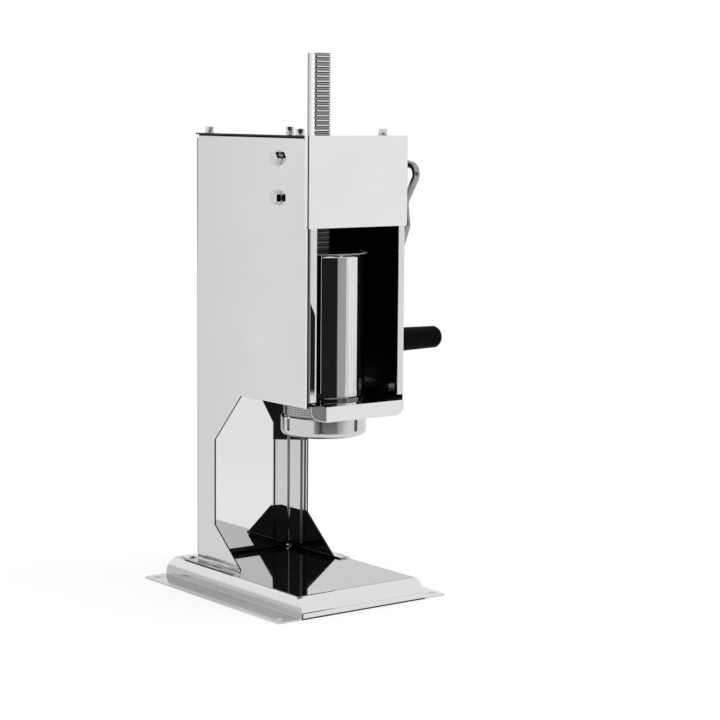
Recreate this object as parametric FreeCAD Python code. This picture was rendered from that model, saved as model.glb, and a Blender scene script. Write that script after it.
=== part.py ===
import FreeCAD, Part
import math
import os

# Hand-cranked vertical pasta extruder, all sizes in millimetres.
# +Z is up, +X points to the crank side, -Y is the front with the barrel opening.
# The origin lies on the ground under the middle of the base plate.

os.makedirs("parts", exist_ok=True)
Vector = FreeCAD.Vector
X_AXIS = Vector(1, 0, 0)
Y_AXIS = Vector(0, 1, 0)
Z_AXIS = Vector(0, 0, 1)

# ---- pressed base plate ----
base_half_width = 100.2
base_half_depth = 159.7
base_height = 27.1
base_sheet = 2.0
base_skirt_height = 9.0
base_shoulder_run = 16.3
base_shoulder_bulge = 2.0
base_side_taper = 2.6
base_edge_radius = 3.5
floor_flange_width = 35.6
floor_flange_corner = 4.0
floor_hole_radius = 4.5
floor_hole_from_side = 23.8
floor_hole_from_end = 14.7

# ---- head: two side plates, back plate, top plate, front cover ----
sheet = 2.0
head_half_width = 78.0
head_front = -137.7
head_back = 118.0
head_top = 607.2
head_bottom = 264.6
throat_upper_y = 9.9
throat_back_y = 72.7
throat_upper_z = 197.7
throat_lower_z = 82.2
throat_lower_y = 10.0
throat_lip = 2.6
bend_radius = 2.5
tight_bend_radius = 0.5
left_strip_width = 14.4
right_strip_width = 10.7
strip_bottom = 272.0
top_fold_width = 24.0
top_fold_setback = 8.0
rear_fold_width = 18.0
rear_fold_lift = 9.0
foot_flange_width = 19.0
foot_flange_front = 1.0
back_cheek_depth = 30.0
back_cheek_drop = 8.0
back_foot_depth = 20.0
back_foot_overhang = 12.0
cover_sheet = 2.0
cover_bottom = 491.7
cover_lip_depth = 4.5
cover_corner_radius = 4.0

# ---- small fasteners ----
m6_head_radius = 5.8
m6_head_height = 5.0
m6_washer_radius = 6.2
m6_washer_sheet = 1.5
m6_spring_radius = 5.5
m6_spring_sheet = 1.7
m6_shank_radius = 2.95
m8_shank_radius = 3.95
end_bolt_head_radius = 9.2
end_bolt_head_height = 5.6
end_bolt_washer_radius = 10.2
end_bolt_washer_sheet = 1.0
end_bolt_length = 12.0
end_bolt_hole_depth = 16.0
screw_hole_gap = 0.1
rivet_nut_radius = 4.6
rivet_nut_length = 9.0
screw_turn_step = 17.0
top_screw_from_side = 12.0
top_screw_from_front = 34.2
top_screw_from_back = 15.2
foot_screw_beyond_side = 3.4
foot_screw_from_back = 5.5
foot_screw_head_radius = 4.5
foot_screw_head_height = 2.2
foot_screw_head_round = 1.2
foot_screw_length = 5.0

# ---- gear train ----
gear_module = 2.0
tooth_addendum = 1.5
tooth_root_depth = 2.1
tooth_backlash = 0.14
pressure_angle = math.radians(20.0)
rack_pinion_teeth = 10
crank_pinion_teeth = 12
reduction_gear_teeth = 38
shaft_y = -72.0
lower_shaft_z = 528.0
shaft_radius = 7.0
shaft_fit = 0.05
gear_face = 12.0
gear_to_rack_gap = 5.5
crank_pinion_extra = 1.0
hub_collar_radius = 13.0
hub_collar_length = 10.0
gear_web_depth = 3.0
gear_web_inner = 17.0
gear_web_outer = 31.0
gear_web_hole_radius = 4.5
gear_web_hole_count = 6

# ---- bearing plates ----
bearing_sheet = 6.0
bearing_margin = 26.0
bearing_half_depth = 28.0
bearing_top_gap = 0.7
side_hole_gap = 1.0
washer_play = 0.4

# ---- rack and its guide ----
rack_width = 25.0
rack_depth = 19.5
rack_top = 711.8
rack_bottom = 457.0
rack_corner = 1.6
guide_gap = 0.3
guide_sheet = 3.0
guide_bottom = 498.0
guide_cheek_depth = 13.0
guide_flange_reach = 16.0
slot_gap = 1.6

# ---- piston ----
piston_gap = 1.5
piston_thickness = 22.0
seal_width = 9.0
seal_from_bottom = 6.0
seal_depth = 3.5
seal_gap = 0.3
piston_edge = 1.5
piston_screw_head_radius = 7.0
piston_screw_head_height = 4.5
piston_screw_depth = 22.0
piston_screw_end_gap = 2.0

# ---- barrel ----
barrel_y = -68.0
barrel_inner_radius = 51.0
barrel_wall = 1.5
barrel_rim_top = 456.5
barrel_rim_reach = 3.0
barrel_rim_height = 3.6
neck_wall = 1.5
neck_inner_step = 3.0
neck_bore_top = 254.0
neck_taper = 6.0
neck_flange_reach = 2.4
neck_flange_height = 2.6
turned_edge = 1.0

# ---- barrel tray and its rails ----
tray_side_gap = 14.0
tray_reach = 20.0
tray_back = 4.0
tray_deck_top = 268.0
tray_apron_height = 19.5
tray_return_length = 33.1
tray_corner_radius = 12.5
tray_hole_gap = 0.5
rail_return_gap = 1.0
rail_back = 10.0
rail_reach = 22.0
rail_height = 23.0
rail_screw_lift = 14.5
rail_screw_from_front = 10.6
rail_screw_from_back = 12.0
rail_screw_skin = 0.6

# ---- ring nut and die plate ----
neck_bottom = 228.0
die_thickness = 6.0
die_play = 0.4
ring_nut_radius = 56.0
ring_nut_top = 245.0
ring_nut_bottom = 218.0
ring_nut_upper_round = 3.5
ring_nut_lower_round = 7.0
ring_nut_opening = 45.0
ring_thread_gap = 0.3
groove_count = 7
groove_radius = 3.6
groove_depth = 1.7
groove_from_bottom = 7.5
groove_phase = 24.5
die_hole_radius = 4.0
die_hole_pitch = 24.0
die_hole_rings = 1

# ---- crank ----
crank_standoff = 19.0
rod_radius = 4.9
hub_radius = 11.0
hub_half_length = 10.0
hub_screw_radius = 2.5
hub_socket_depth = 2.0
rod_start_drop = 1.0
rod_bend_y = -143.0
rod_bend_z = 566.0
rod_bend_radius = 12.0
rod_waist_y = -112.0
rod_waist_z = 520.0
rod_waist_radius = 14.0
rod_elbow_y = -117.0
rod_elbow_z = 490.0
rod_elbow_radius = 14.0
rod_shoulder_y = -101.5
rod_shoulder_z = 456.0
rod_shoulder_radius = 60.0
grip_y = -73.0
grip_z = 335.0
rod_end_radius = 6.5

# ---- grip ----
grip_standoff = 9.5
grip_length = 80.5
grip_radius = 16.0
grip_end_radius = 14.6
grip_shoulder_run = 4.0
grip_shoulder_drop = 0.5
grip_rim = 1.5
grip_dome = 6.0
grip_dome_step = 2.4
grip_dome_flat = 8.0
grip_wall_end = 5.0
grip_bore_gap = 0.1
grip_neck_radius = 12.5
grip_neck_length = 5.0
grip_collar_radius = 9.0
grip_collar_sheet = 2.0
grip_collar_play = 0.3

# ---- making ----
# Tools that cut or trim a solid run this far past the faces that they open.
past = 1.0

# ---- sizes that follow from the ones above ----
plate_top = head_top - sheet
plate_inner = head_half_width - sheet
outer_bend_radius = bend_radius + sheet
foot_top = base_height + sheet
foot_bend_top = foot_top + bend_radius
top_bend_bottom = plate_top - outer_bend_radius
back_wall_rear = head_back - sheet
back_wall_front = back_wall_rear - sheet
crank_plane_x = head_half_width + crank_standoff
grip_start = crank_plane_x + grip_standoff
grip_end = grip_start + grip_length
rack_pinion_pitch = gear_module * rack_pinion_teeth / 2.0
crank_pinion_pitch = gear_module * crank_pinion_teeth / 2.0
reduction_gear_pitch = gear_module * reduction_gear_teeth / 2.0
upper_shaft_z = lower_shaft_z + crank_pinion_pitch + reduction_gear_pitch
rack_pitch_y = shaft_y + rack_pinion_pitch
rack_tip_y = rack_pitch_y - tooth_addendum
rack_back_y = rack_tip_y + rack_depth
rack_half = rack_width / 2.0
gear_near_x = rack_half + gear_to_rack_gap
gear_far_x = gear_near_x + gear_face
shaft_end_x = head_half_width + washer_play
bearing_inner_x = plate_inner - bearing_sheet
barrel_outer_radius = barrel_inner_radius + barrel_wall
neck_outer_radius = barrel_inner_radius + neck_wall
neck_inner_radius = barrel_inner_radius - neck_inner_step
tray_half_width = plate_inner - tray_side_gap
tray_front = head_front - tray_reach
tray_return_back = tray_front + tray_return_length
tray_deck_bottom = tray_deck_top - sheet
tray_apron_bottom = tray_deck_top - tray_apron_height
rail_front = tray_return_back + rail_return_gap
rail_bottom = tray_deck_bottom - sheet
rail_screw_z = rail_bottom + rail_screw_lift
piston_bottom = rack_bottom - piston_thickness
piston_radius = barrel_inner_radius - piston_gap
seal_lip_radius = barrel_inner_radius - seal_gap
seal_groove_floor = seal_lip_radius - seal_depth - piston_edge
seal_low = piston_bottom + seal_from_bottom
seal_high = seal_low + seal_width
die_bottom = neck_bottom - die_thickness
die_radius = neck_outer_radius - die_play


def box(x0, x1, y0, y1, z0, z1):
    return Part.makeBox(x1 - x0, y1 - y0, z1 - z0, Vector(x0, y0, z0))


def cylinder_x(radius, x0, x1, y, z):
    return Part.makeCylinder(radius, x1 - x0, Vector(x0, y, z), X_AXIS)


def cylinder_y(radius, x, y0, y1, z):
    return Part.makeCylinder(radius, y1 - y0, Vector(x, y0, z), Y_AXIS)


def cylinder_z(radius, x, y, z0, z1):
    return Part.makeCylinder(radius, z1 - z0, Vector(x, y, z0), Z_AXIS)


def prism(points, direction):
    wire = Part.makePolygon(points + [points[0]])
    return Part.Face(wire).extrude(direction)


def prism_along_x(yz_points, x0, x1):
    points = [Vector(x0, y, z) for y, z in yz_points]
    return prism(points, Vector(x1 - x0, 0, 0))


def prism_along_y(xz_points, y0, y1):
    points = [Vector(x, y0, z) for x, z in xz_points]
    return prism(points, Vector(0, y1 - y0, 0))


def revolve_z(rz_points, x, y):
    points = [Vector(x + r, y, z) for r, z in rz_points]
    wire = Part.makePolygon(points + [points[0]])
    return Part.Face(wire).revolve(Vector(x, y, 0), Z_AXIS, 360)


def hexagon_z(radius, x, y, z0, z1, turn):
    points = []
    for corner in range(6):
        angle = math.radians(60.0 * corner + turn)
        points.append(Vector(x + radius * math.cos(angle), y + radius * math.sin(angle), z0))
    return prism(points, Vector(0, 0, z1 - z0))


def hexagon_x(radius, x0, x1, y, z, turn):
    points = []
    for corner in range(6):
        angle = math.radians(60.0 * corner + turn)
        points.append(Vector(x0, y + radius * math.cos(angle), z + radius * math.sin(angle)))
    return prism(points, Vector(x1 - x0, 0, 0))


def round_edges(shape, radius, wanted):
    edges = [edge for edge in shape.Edges if wanted(edge)]
    return shape.makeFillet(radius, edges)


def is_along(edge, axis, shortest):
    if len(edge.Vertexes) != 2:
        return False
    step = edge.Vertexes[1].Point - edge.Vertexes[0].Point
    if step.Length < shortest:
        return False
    return step.cross(axis).Length < 0.001 * step.Length


def arc_corner(before, corner, after, radius):
    """Tangent points and middle point of a round corner between two straight runs."""
    back = before - corner
    back.normalize()
    ahead = after - corner
    ahead.normalize()
    half = back.getAngle(ahead) / 2.0
    reach = radius / math.tan(half)
    bisector = back + ahead
    bisector.normalize()
    start = corner + back * reach
    end = corner + ahead * reach
    middle = corner + bisector * (radius / math.sin(half) - radius)
    return start, middle, end


def straight(first, last):
    """Edge from one point to the next, or none where an arc already ends at that point."""
    if first.distanceToPoint(last) < 0.001:
        return []
    return [Part.LineSegment(first, last).toShape()]


def rounded_run(corners, radii):
    """Straight runs through the corners, joined by arcs of the given radii."""
    edges = []
    previous = corners[0]
    for index, radius in enumerate(radii):
        start, middle, end = arc_corner(corners[index], corners[index + 1], corners[index + 2], radius)
        edges.extend(straight(previous, start))
        edges.append(Part.Arc(start, middle, end).toShape())
        previous = end
    edges.extend(straight(previous, corners[-1]))
    return edges


def folded_sheet(path, normal, thickness, inner_radius):
    """Section of a sheet folded along a path; the sheet lies to the right of it, seen against the normal."""
    steps = []
    for first, second in zip(path, path[1:]):
        step = second - first
        step.normalize()
        steps.append(step)
    rights = [step.cross(normal) for step in steps]
    far = [path[0] + rights[0] * thickness]
    near_radii = []
    far_radii = []
    for index, corner in enumerate(path[1:-1]):
        before = rights[index]
        after = rights[index + 1]
        far.append(corner + (before + after) * (thickness / (1 + before.dot(after))))
        turns_left = steps[index].cross(steps[index + 1]).dot(normal) > 0
        near_radii.append(inner_radius if turns_left else inner_radius + thickness)
        far_radii.append(inner_radius + thickness if turns_left else inner_radius)
    far.append(path[-1] + rights[-1] * thickness)
    edges = rounded_run(path, near_radii)
    edges.extend(straight(path[-1], far[-1]))
    edges.extend(rounded_run(far[::-1], far_radii[::-1]))
    edges.extend(straight(far[0], path[0]))
    return Part.Face(Part.Wire(edges))


def mirrored(shape):
    return shape.mirror(Vector(0, 0, 0), X_AXIS)


def fuse(shapes):
    return shapes[0].multiFuse(shapes[1:]).removeSplitter()


def cut(shape, tools):
    for tool in tools:
        shape = shape.cut(tool)
    return shape


# ---- base ----

def base_long_section(depth, skirt, top, x):
    """Face across the base from front to rear: vertical skirts and bulging shoulders."""
    run = base_shoulder_run
    rise = top - skirt
    slant = math.hypot(run, rise)
    middle_y = depth - run / 2.0 + base_shoulder_bulge * rise / slant
    middle_z = skirt + rise / 2.0 + base_shoulder_bulge * run / slant
    floor_front = Vector(x, -depth, 0)
    skirt_front = Vector(x, -depth, skirt)
    top_front = Vector(x, -depth + run, top)
    top_rear = Vector(x, depth - run, top)
    skirt_rear = Vector(x, depth, skirt)
    floor_rear = Vector(x, depth, 0)
    edges = [
        Part.LineSegment(floor_front, skirt_front).toShape(),
        Part.Arc(skirt_front, Vector(x, -middle_y, middle_z), top_front).toShape(),
        Part.LineSegment(top_front, top_rear).toShape(),
        Part.Arc(top_rear, Vector(x, middle_y, middle_z), skirt_rear).toShape(),
        Part.LineSegment(skirt_rear, floor_rear).toShape(),
        Part.LineSegment(floor_rear, floor_front).toShape(),
    ]
    return Part.Face(Part.Wire(edges))


def base_cross_section(width, top, y, radius):
    """Face across the base from side to side: leaning sides with round upper edges."""
    corners = [Vector(-width, y, 0), Vector(-width + base_side_taper, y, top),
               Vector(width - base_side_taper, y, top), Vector(width, y, 0)]
    edges = rounded_run(corners, [radius, radius])
    edges.append(Part.LineSegment(corners[-1], corners[0]).toShape())
    return Part.Face(Part.Wire(edges))


def base_block(inset):
    """Outer or inner form of the pressed base: a low pan with long front and rear shoulders."""
    depth = base_half_depth - inset
    width = base_half_width - inset
    top = base_height - inset
    long_section = base_long_section(depth, base_skirt_height, top, -width)
    cross_section = base_cross_section(width, top, -depth, base_edge_radius - inset)
    long_form = long_section.extrude(Vector(2 * width, 0, 0))
    return long_form.common(cross_section.extrude(Vector(0, 2 * depth, 0)))


def floor_flange():
    """Flat fixing flange along one long side, with two rounded outer corners and two holes."""
    outer = base_half_width + floor_flange_width
    plate = box(base_half_width - base_sheet, outer, -base_half_depth, base_half_depth, 0, base_sheet)
    plate = round_edges(plate, floor_flange_corner,
                        lambda edge: is_along(edge, Z_AXIS, past) and edge.BoundBox.XMin > outer - past)
    hole_x = base_half_width + floor_hole_from_side
    hole_y = base_half_depth - floor_hole_from_end
    holes = []
    for y in (-hole_y, hole_y):
        holes.append(cylinder_z(floor_hole_radius, hole_x, y, -past, base_sheet + past))
    return cut(plate, holes)


def foot_screw_places():
    x = head_half_width + foot_screw_beyond_side
    y = head_back + foot_screw_from_back
    return [(-x, y), (x, y)]


def make_base_plate():
    shell = base_block(0).cut(base_block(base_sheet))
    flange = floor_flange()
    plate = fuse([shell, flange, mirrored(flange)])
    holes = []
    for x, y in foot_screw_places():
        holes.append(cylinder_z(m6_shank_radius + screw_hole_gap, x, y,
                                base_height - base_sheet - past, base_height + past))
    return cut(plate, holes)


# ---- head ----

def throat_cutter(x0, x1):
    """Everything of a side wall that lies below the head and in front of the column."""
    outline = [
        (head_front - past, head_bottom),
        (throat_upper_y, head_bottom),
        (throat_back_y, throat_upper_z),
        (throat_back_y, throat_lower_z),
        (throat_lower_y, base_height + throat_lip),
        (throat_lower_y, base_height - past),
        (head_front - past, base_height - past),
    ]
    return prism_along_x(outline, x0, x1)


def shaft_places():
    return [(shaft_y, upper_shaft_z), (shaft_y, lower_shaft_z)]


def side_wall(strip_width):
    """Left wall folded inwards at the front, as a strip, and at the rear."""
    rear_x = -head_half_width + rear_fold_width
    z = foot_bend_top
    front_corner = Vector(-head_half_width, head_front, z)
    bend_end = head_front + outer_bend_radius + sheet
    strip = folded_sheet([Vector(-head_half_width, bend_end, z), front_corner,
                          Vector(-head_half_width + strip_width, head_front, z)],
                         -Z_AXIS, sheet, tight_bend_radius)
    wall = folded_sheet([Vector(rear_x, head_back, z), Vector(-head_half_width, head_back, z),
                         Vector(-head_half_width, bend_end, z)],
                        -Z_AXIS, sheet, bend_radius)
    height = Vector(0, 0, top_bend_bottom - z)
    below_strip = box(-plate_inner, plate_inner, head_front - past, bend_end, z - past, strip_bottom)
    below_rear_fold = box(-head_half_width - past, plate_inner, head_back - outer_bend_radius,
                          head_back + past, z - past, base_height + rear_fold_lift)
    return fuse([strip.extrude(height).cut(below_strip), wall.extrude(height).cut(below_rear_fold)])


def make_side_plate(strip_width):
    """Left-hand side plate: one folded sheet with front strip, rear fold, top fold and foot flange."""
    fold_front = head_front + top_fold_setback
    top_section = folded_sheet([Vector(-head_half_width, fold_front, top_bend_bottom),
                                Vector(-head_half_width, fold_front, plate_top),
                                Vector(-head_half_width + top_fold_width, fold_front, plate_top)],
                               -Y_AXIS, sheet, bend_radius)
    top_fold = top_section.extrude(Vector(0, head_back - top_fold_setback - fold_front, 0))
    bend_rear = head_back - outer_bend_radius
    flange_edge = head_half_width + foot_flange_width
    foot_section = folded_sheet([Vector(-flange_edge, throat_lower_y, foot_top),
                                 Vector(-head_half_width, throat_lower_y, foot_top),
                                 Vector(-head_half_width, throat_lower_y, foot_bend_top)],
                                -Y_AXIS, sheet, bend_radius)
    foot_bend = foot_section.extrude(Vector(0, bend_rear - throat_lower_y, 0))
    flange_inner = -head_half_width - bend_radius
    flange = box(-flange_edge, flange_inner, foot_flange_front, head_back, base_height, foot_top)
    plate = fuse([side_wall(strip_width), top_fold, foot_bend])
    plate = fuse([cut(plate, [throat_cutter(flange_inner, -plate_inner + past)]), flange])
    nuts = []
    holes = []
    for x, y in top_screw_places():
        if x < 0:
            nuts.append(cylinder_z(rivet_nut_radius, x, y, plate_top - rivet_nut_length, plate_top - sheet))
            holes.append(cylinder_z(m6_shank_radius + screw_hole_gap, x, y,
                                    plate_top - rivet_nut_length - past, plate_top + past))
    for y, z in shaft_places():
        holes.append(cylinder_x(shaft_radius + side_hole_gap, -head_half_width - past,
                                -plate_inner + past, y, z))
    for y in rail_screw_places():
        holes.append(cylinder_x(m6_shank_radius + screw_hole_gap, -head_half_width + rail_screw_skin,
                                -plate_inner + past, y, rail_screw_z))
    return cut(fuse([plate] + nuts), holes)


def make_back_plate():
    """Rear sheet of the column: a wall with a cheek along each side plate and a foot to the rear."""
    z = foot_bend_top
    cheek_front = back_wall_rear - back_cheek_depth
    channel = folded_sheet([Vector(plate_inner, cheek_front, z), Vector(plate_inner, back_wall_rear, z),
                            Vector(-plate_inner, back_wall_rear, z), Vector(-plate_inner, cheek_front, z)],
                           -Z_AXIS, sheet, bend_radius).extrude(Vector(0, 0, plate_top - z))
    above_cheeks = box(-head_half_width, head_half_width, cheek_front - past, back_wall_front,
                       plate_top - back_cheek_drop, plate_top + past)
    foot_rear = head_back + back_foot_depth
    foot_section = folded_sheet([Vector(-plate_inner, foot_rear, foot_top),
                                 Vector(-plate_inner, back_wall_rear, foot_top),
                                 Vector(-plate_inner, back_wall_rear, z)],
                                -X_AXIS, sheet, bend_radius)
    foot_bend = foot_section.extrude(Vector(2 * plate_inner, 0, 0))
    foot_half_width = head_half_width + back_foot_overhang
    foot_front = head_back + tight_bend_radius
    foot = box(-foot_half_width, foot_half_width, foot_front, foot_rear, base_height, foot_top)
    plate = fuse([channel.cut(above_cheeks), foot_bend, foot])
    holes = []
    for x, y in foot_screw_places():
        holes.append(cylinder_z(m6_shank_radius + screw_hole_gap, x, y, base_height - past, foot_top + past))
    return cut(plate, holes)


def rack_slot(z0, z1):
    half = rack_half + slot_gap
    return box(-half, half, rack_tip_y - slot_gap, rack_back_y + slot_gap, z0, z1)


def top_screw_places():
    half_x = head_half_width - top_screw_from_side
    places = []
    for x in (-half_x, half_x):
        for y in (head_front + top_screw_from_front, head_back - top_screw_from_back):
            places.append((x, y))
    return places


def make_top_plate():
    plate = box(-head_half_width, head_half_width, head_front, head_back, plate_top, head_top)
    holes = [rack_slot(plate_top - past, head_top + past)]
    for x, y in top_screw_places():
        holes.append(cylinder_z(m6_shank_radius + screw_hole_gap, x, y, plate_top - past, head_top + past))
    return cut(plate, holes)


def make_front_cover():
    """Front cover: a shallow folded pan whose lips clasp the front corners of both side plates."""
    half = head_half_width + cover_sheet
    front = head_front - cover_sheet
    lip_end = head_front + cover_lip_depth
    section = folded_sheet([Vector(-half, lip_end, cover_bottom), Vector(-half, front, cover_bottom),
                            Vector(half, front, cover_bottom), Vector(half, lip_end, cover_bottom)],
                           -Z_AXIS, cover_sheet, tight_bend_radius)
    cover = section.extrude(Vector(0, 0, head_top - cover_bottom))
    trims = []
    for side in (-1, 1):
        corner = box(half - cover_corner_radius, half + past, front - past, head_front,
                     cover_bottom - past, cover_bottom + cover_corner_radius)
        disc = cylinder_y(cover_corner_radius, half - cover_corner_radius, front - past, head_front,
                          cover_bottom + cover_corner_radius)
        trim = corner.cut(disc)
        trims.append(trim if side > 0 else mirrored(trim))
    return cut(cover, trims)


# ---- fasteners ----

def hex_screw_down(x, y, seat_z, length, turn):
    """Hex screw with flat and spring washer, driven down into the part below its seat."""
    spring_z = seat_z + m6_washer_sheet
    head_z = spring_z + m6_spring_sheet
    washer = cylinder_z(m6_washer_radius, x, y, seat_z, spring_z)
    spring = cylinder_z(m6_spring_radius, x, y, spring_z, head_z)
    head = hexagon_z(m6_head_radius, x, y, head_z, head_z + m6_head_height, turn)
    shank = cylinder_z(m6_shank_radius, x, y, seat_z - length, seat_z + past)
    return fuse([washer, spring, head, shank])


def make_top_screws():
    screws = []
    for count, (x, y) in enumerate(top_screw_places()):
        screws.append(hex_screw_down(x, y, head_top, rivet_nut_length, screw_turn_step * count))
    return Part.makeCompound(screws)


def make_foot_bolts():
    """Two low round-headed screws through the rear foot."""
    head_top_z = foot_top + foot_screw_head_height
    screws = []
    for x, y in foot_screw_places():
        head = cylinder_z(foot_screw_head_radius, x, y, foot_top, head_top_z)
        head = round_edges(head, foot_screw_head_round,
                           lambda edge: edge.BoundBox.ZMin > head_top_z - foot_screw_head_round)
        shank = cylinder_z(m6_shank_radius, x, y, foot_top - foot_screw_length, foot_top + past)
        screws.append(fuse([head, shank]))
    return Part.makeCompound(screws)


def shaft_end_bolt(z):
    """Hex bolt with a flat washer that holds a shaft end against the left plate."""
    washer_end = -shaft_end_x - end_bolt_washer_sheet
    head_end = washer_end - end_bolt_head_height
    washer = cylinder_x(end_bolt_washer_radius, washer_end, -shaft_end_x, shaft_y, z)
    head = hexagon_x(end_bolt_head_radius, head_end, washer_end, shaft_y, z, 0.0)
    shank = cylinder_x(m8_shank_radius, washer_end, -shaft_end_x + end_bolt_length, shaft_y, z)
    return fuse([washer, head, shank])


def shaft_end_hole(z):
    return cylinder_x(m8_shank_radius + shaft_fit, -shaft_end_x - past, -shaft_end_x + end_bolt_hole_depth,
                      shaft_y, z)


# ---- gear train ----

def involute(angle):
    return math.tan(angle) - angle


def gear_points(teeth, first_tooth_angle):
    """Outline of a stub-tooth gear about the origin, as (y, z) pairs."""
    pitch = gear_module * teeth / 2.0
    base = pitch * math.cos(pressure_angle)
    root = pitch - tooth_root_depth
    tip = pitch + tooth_addendum
    start = max(base, root)
    half_tooth = math.pi / (2 * teeth) - tooth_backlash / pitch + involute(pressure_angle)
    flank = []
    if root < base:
        flank.append((root, half_tooth))
    for step in range(4):
        radius = start + (tip - start) * step / 3.0
        flank.append((radius, half_tooth - involute(math.acos(base / radius))))
    points = []
    for tooth in range(teeth):
        centre = first_tooth_angle + 2 * math.pi * tooth / teeth
        for radius, offset in flank:
            points.append((radius * math.cos(centre - offset), radius * math.sin(centre - offset)))
        for radius, offset in reversed(flank):
            points.append((radius * math.cos(centre + offset), radius * math.sin(centre + offset)))
    return points


def gear_solid(teeth, first_tooth_angle, x0, x1, z):
    outline = [(shaft_y + y, z + dz) for y, dz in gear_points(teeth, first_tooth_angle)]
    return prism_along_x(outline, x0, x1)


def make_crank_shaft():
    shaft = cylinder_x(shaft_radius, -shaft_end_x, crank_plane_x + hub_half_length, shaft_y, upper_shaft_z)
    spacer = cylinder_x(end_bolt_washer_radius, shaft_end_x, crank_plane_x - hub_half_length,
                        shaft_y, upper_shaft_z)
    return cut(fuse([shaft, spacer]), [shaft_end_hole(upper_shaft_z)])


def make_crank_pinion():
    """Driving pinion keyed on the crank shaft; one tooth points straight down at rest."""
    near = gear_near_x - crank_pinion_extra / 2.0
    far = gear_far_x + crank_pinion_extra / 2.0
    teeth = gear_solid(crank_pinion_teeth, -math.pi / 2.0, near, far, upper_shaft_z)
    collar = cylinder_x(crank_pinion_pitch - tooth_root_depth, far, far + hub_collar_length,
                        shaft_y, upper_shaft_z)
    bore = cylinder_x(shaft_radius, near - past, far + hub_collar_length + past, shaft_y, upper_shaft_z)
    return cut(fuse([teeth, collar]), [bore])


def make_reduction_gear():
    """Large gear on the lower shaft with a dished web, lightening holes and a collar."""
    first_tooth_angle = math.pi / 2.0 + math.pi / reduction_gear_teeth
    teeth = gear_solid(reduction_gear_teeth, first_tooth_angle, gear_near_x, gear_far_x, lower_shaft_z)
    collar = cylinder_x(hub_collar_radius, gear_far_x, gear_far_x + hub_collar_length, shaft_y, lower_shaft_z)
    gear = fuse([teeth, collar])
    tools = [cylinder_x(shaft_radius, gear_near_x - past, gear_far_x + hub_collar_length + past,
                        shaft_y, lower_shaft_z)]
    for x0, x1 in ((gear_near_x - past, gear_near_x + gear_web_depth),
                   (gear_far_x - gear_web_depth, gear_far_x + past)):
        ring = cylinder_x(gear_web_outer, x0, x1, shaft_y, lower_shaft_z)
        core = cylinder_x(gear_web_inner, x0, x1, shaft_y, lower_shaft_z)
        tools.append(ring.cut(core))
    hole_circle = (gear_web_inner + gear_web_outer) / 2.0
    for hole in range(gear_web_hole_count):
        angle = 2 * math.pi * hole / gear_web_hole_count
        y = shaft_y + hole_circle * math.cos(angle)
        z = lower_shaft_z + hole_circle * math.sin(angle)
        tools.append(cylinder_x(gear_web_hole_radius, gear_near_x - past, gear_far_x + past, y, z))
    return cut(gear, tools)


def make_gear_shaft():
    """Lower shaft with the rack pinion cut into it; one tooth points to the rack at rest."""
    shaft = cylinder_x(shaft_radius, -shaft_end_x, shaft_end_x, shaft_y, lower_shaft_z)
    teeth = gear_solid(rack_pinion_teeth, 0, -rack_half, rack_half, lower_shaft_z)
    return cut(fuse([shaft, teeth]), [shaft_end_hole(lower_shaft_z), mirrored(shaft_end_hole(lower_shaft_z))])


def make_bearing_plate():
    """Left-hand bearing plate: thick plate on the inside of the side plate, bored for both shafts."""
    plate = box(-plate_inner, -bearing_inner_x, shaft_y - bearing_half_depth, shaft_y + bearing_half_depth,
                lower_shaft_z - bearing_margin, top_bend_bottom - bearing_top_gap)
    bores = []
    for y, z in shaft_places():
        bores.append(cylinder_x(shaft_radius + shaft_fit, -plate_inner - past, -bearing_inner_x + past, y, z))
    return cut(plate, bores)


# ---- rack ----

def rack_tooth_spaces():
    """Tooth spaces of the rack over its whole length; one space faces the pinion at rest."""
    pitch = math.pi * gear_module
    slope = math.tan(pressure_angle)
    half_space = pitch / 4.0 + tooth_backlash
    mouth = 2 * tooth_addendum
    mouth_half = half_space + mouth * slope
    root_half = half_space - tooth_root_depth * slope
    root_y = rack_pitch_y + tooth_root_depth
    lowest = math.floor((rack_bottom - lower_shaft_z) / pitch)
    highest = math.ceil((rack_top - lower_shaft_z) / pitch)
    spaces = []
    for step in range(lowest, highest + 1):
        z = lower_shaft_z + step * pitch
        outline = [(rack_pitch_y - mouth, z - mouth_half), (root_y, z - root_half),
                   (root_y, z + root_half), (rack_pitch_y - mouth, z + mouth_half)]
        spaces.append(prism_along_x(outline, -rack_half - past, rack_half + past))
    return Part.makeCompound(spaces)


def make_rack():
    bar = box(-rack_half, rack_half, rack_tip_y, rack_back_y, rack_bottom, rack_top)
    bar = bar.makeChamfer(rack_corner, [edge for edge in bar.Edges if is_along(edge, Z_AXIS, past)])
    hole = cylinder_z(m8_shank_radius + screw_hole_gap, 0, rack_centre_y(), rack_bottom - past,
                      rack_bottom + piston_screw_depth)
    return cut(bar, [rack_tooth_spaces(), hole])


def rack_centre_y():
    return (rack_tip_y + rack_back_y) / 2.0


def make_rack_guide():
    """Channel guide behind and beside the rack, hung by a flange under the top plate."""
    inner = rack_half + guide_gap
    outer = inner + guide_sheet
    back = rack_back_y + guide_gap
    web = box(-outer, outer, back, back + guide_sheet, guide_bottom, plate_top)
    cheeks = []
    for x0 in (-outer, inner):
        cheeks.append(box(x0, x0 + guide_sheet, back - guide_cheek_depth, back + guide_sheet,
                          guide_bottom, plate_top))
    flange = box(-outer - guide_flange_reach, outer + guide_flange_reach, back - guide_cheek_depth,
                 back + guide_sheet + guide_flange_reach, plate_top - guide_sheet, plate_top)
    guide = fuse([web, flange] + cheeks)
    path = box(-inner, inner, rack_tip_y - guide_gap, back, guide_bottom - past, plate_top + past)
    return cut(guide, [path])


# ---- piston ----

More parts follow.
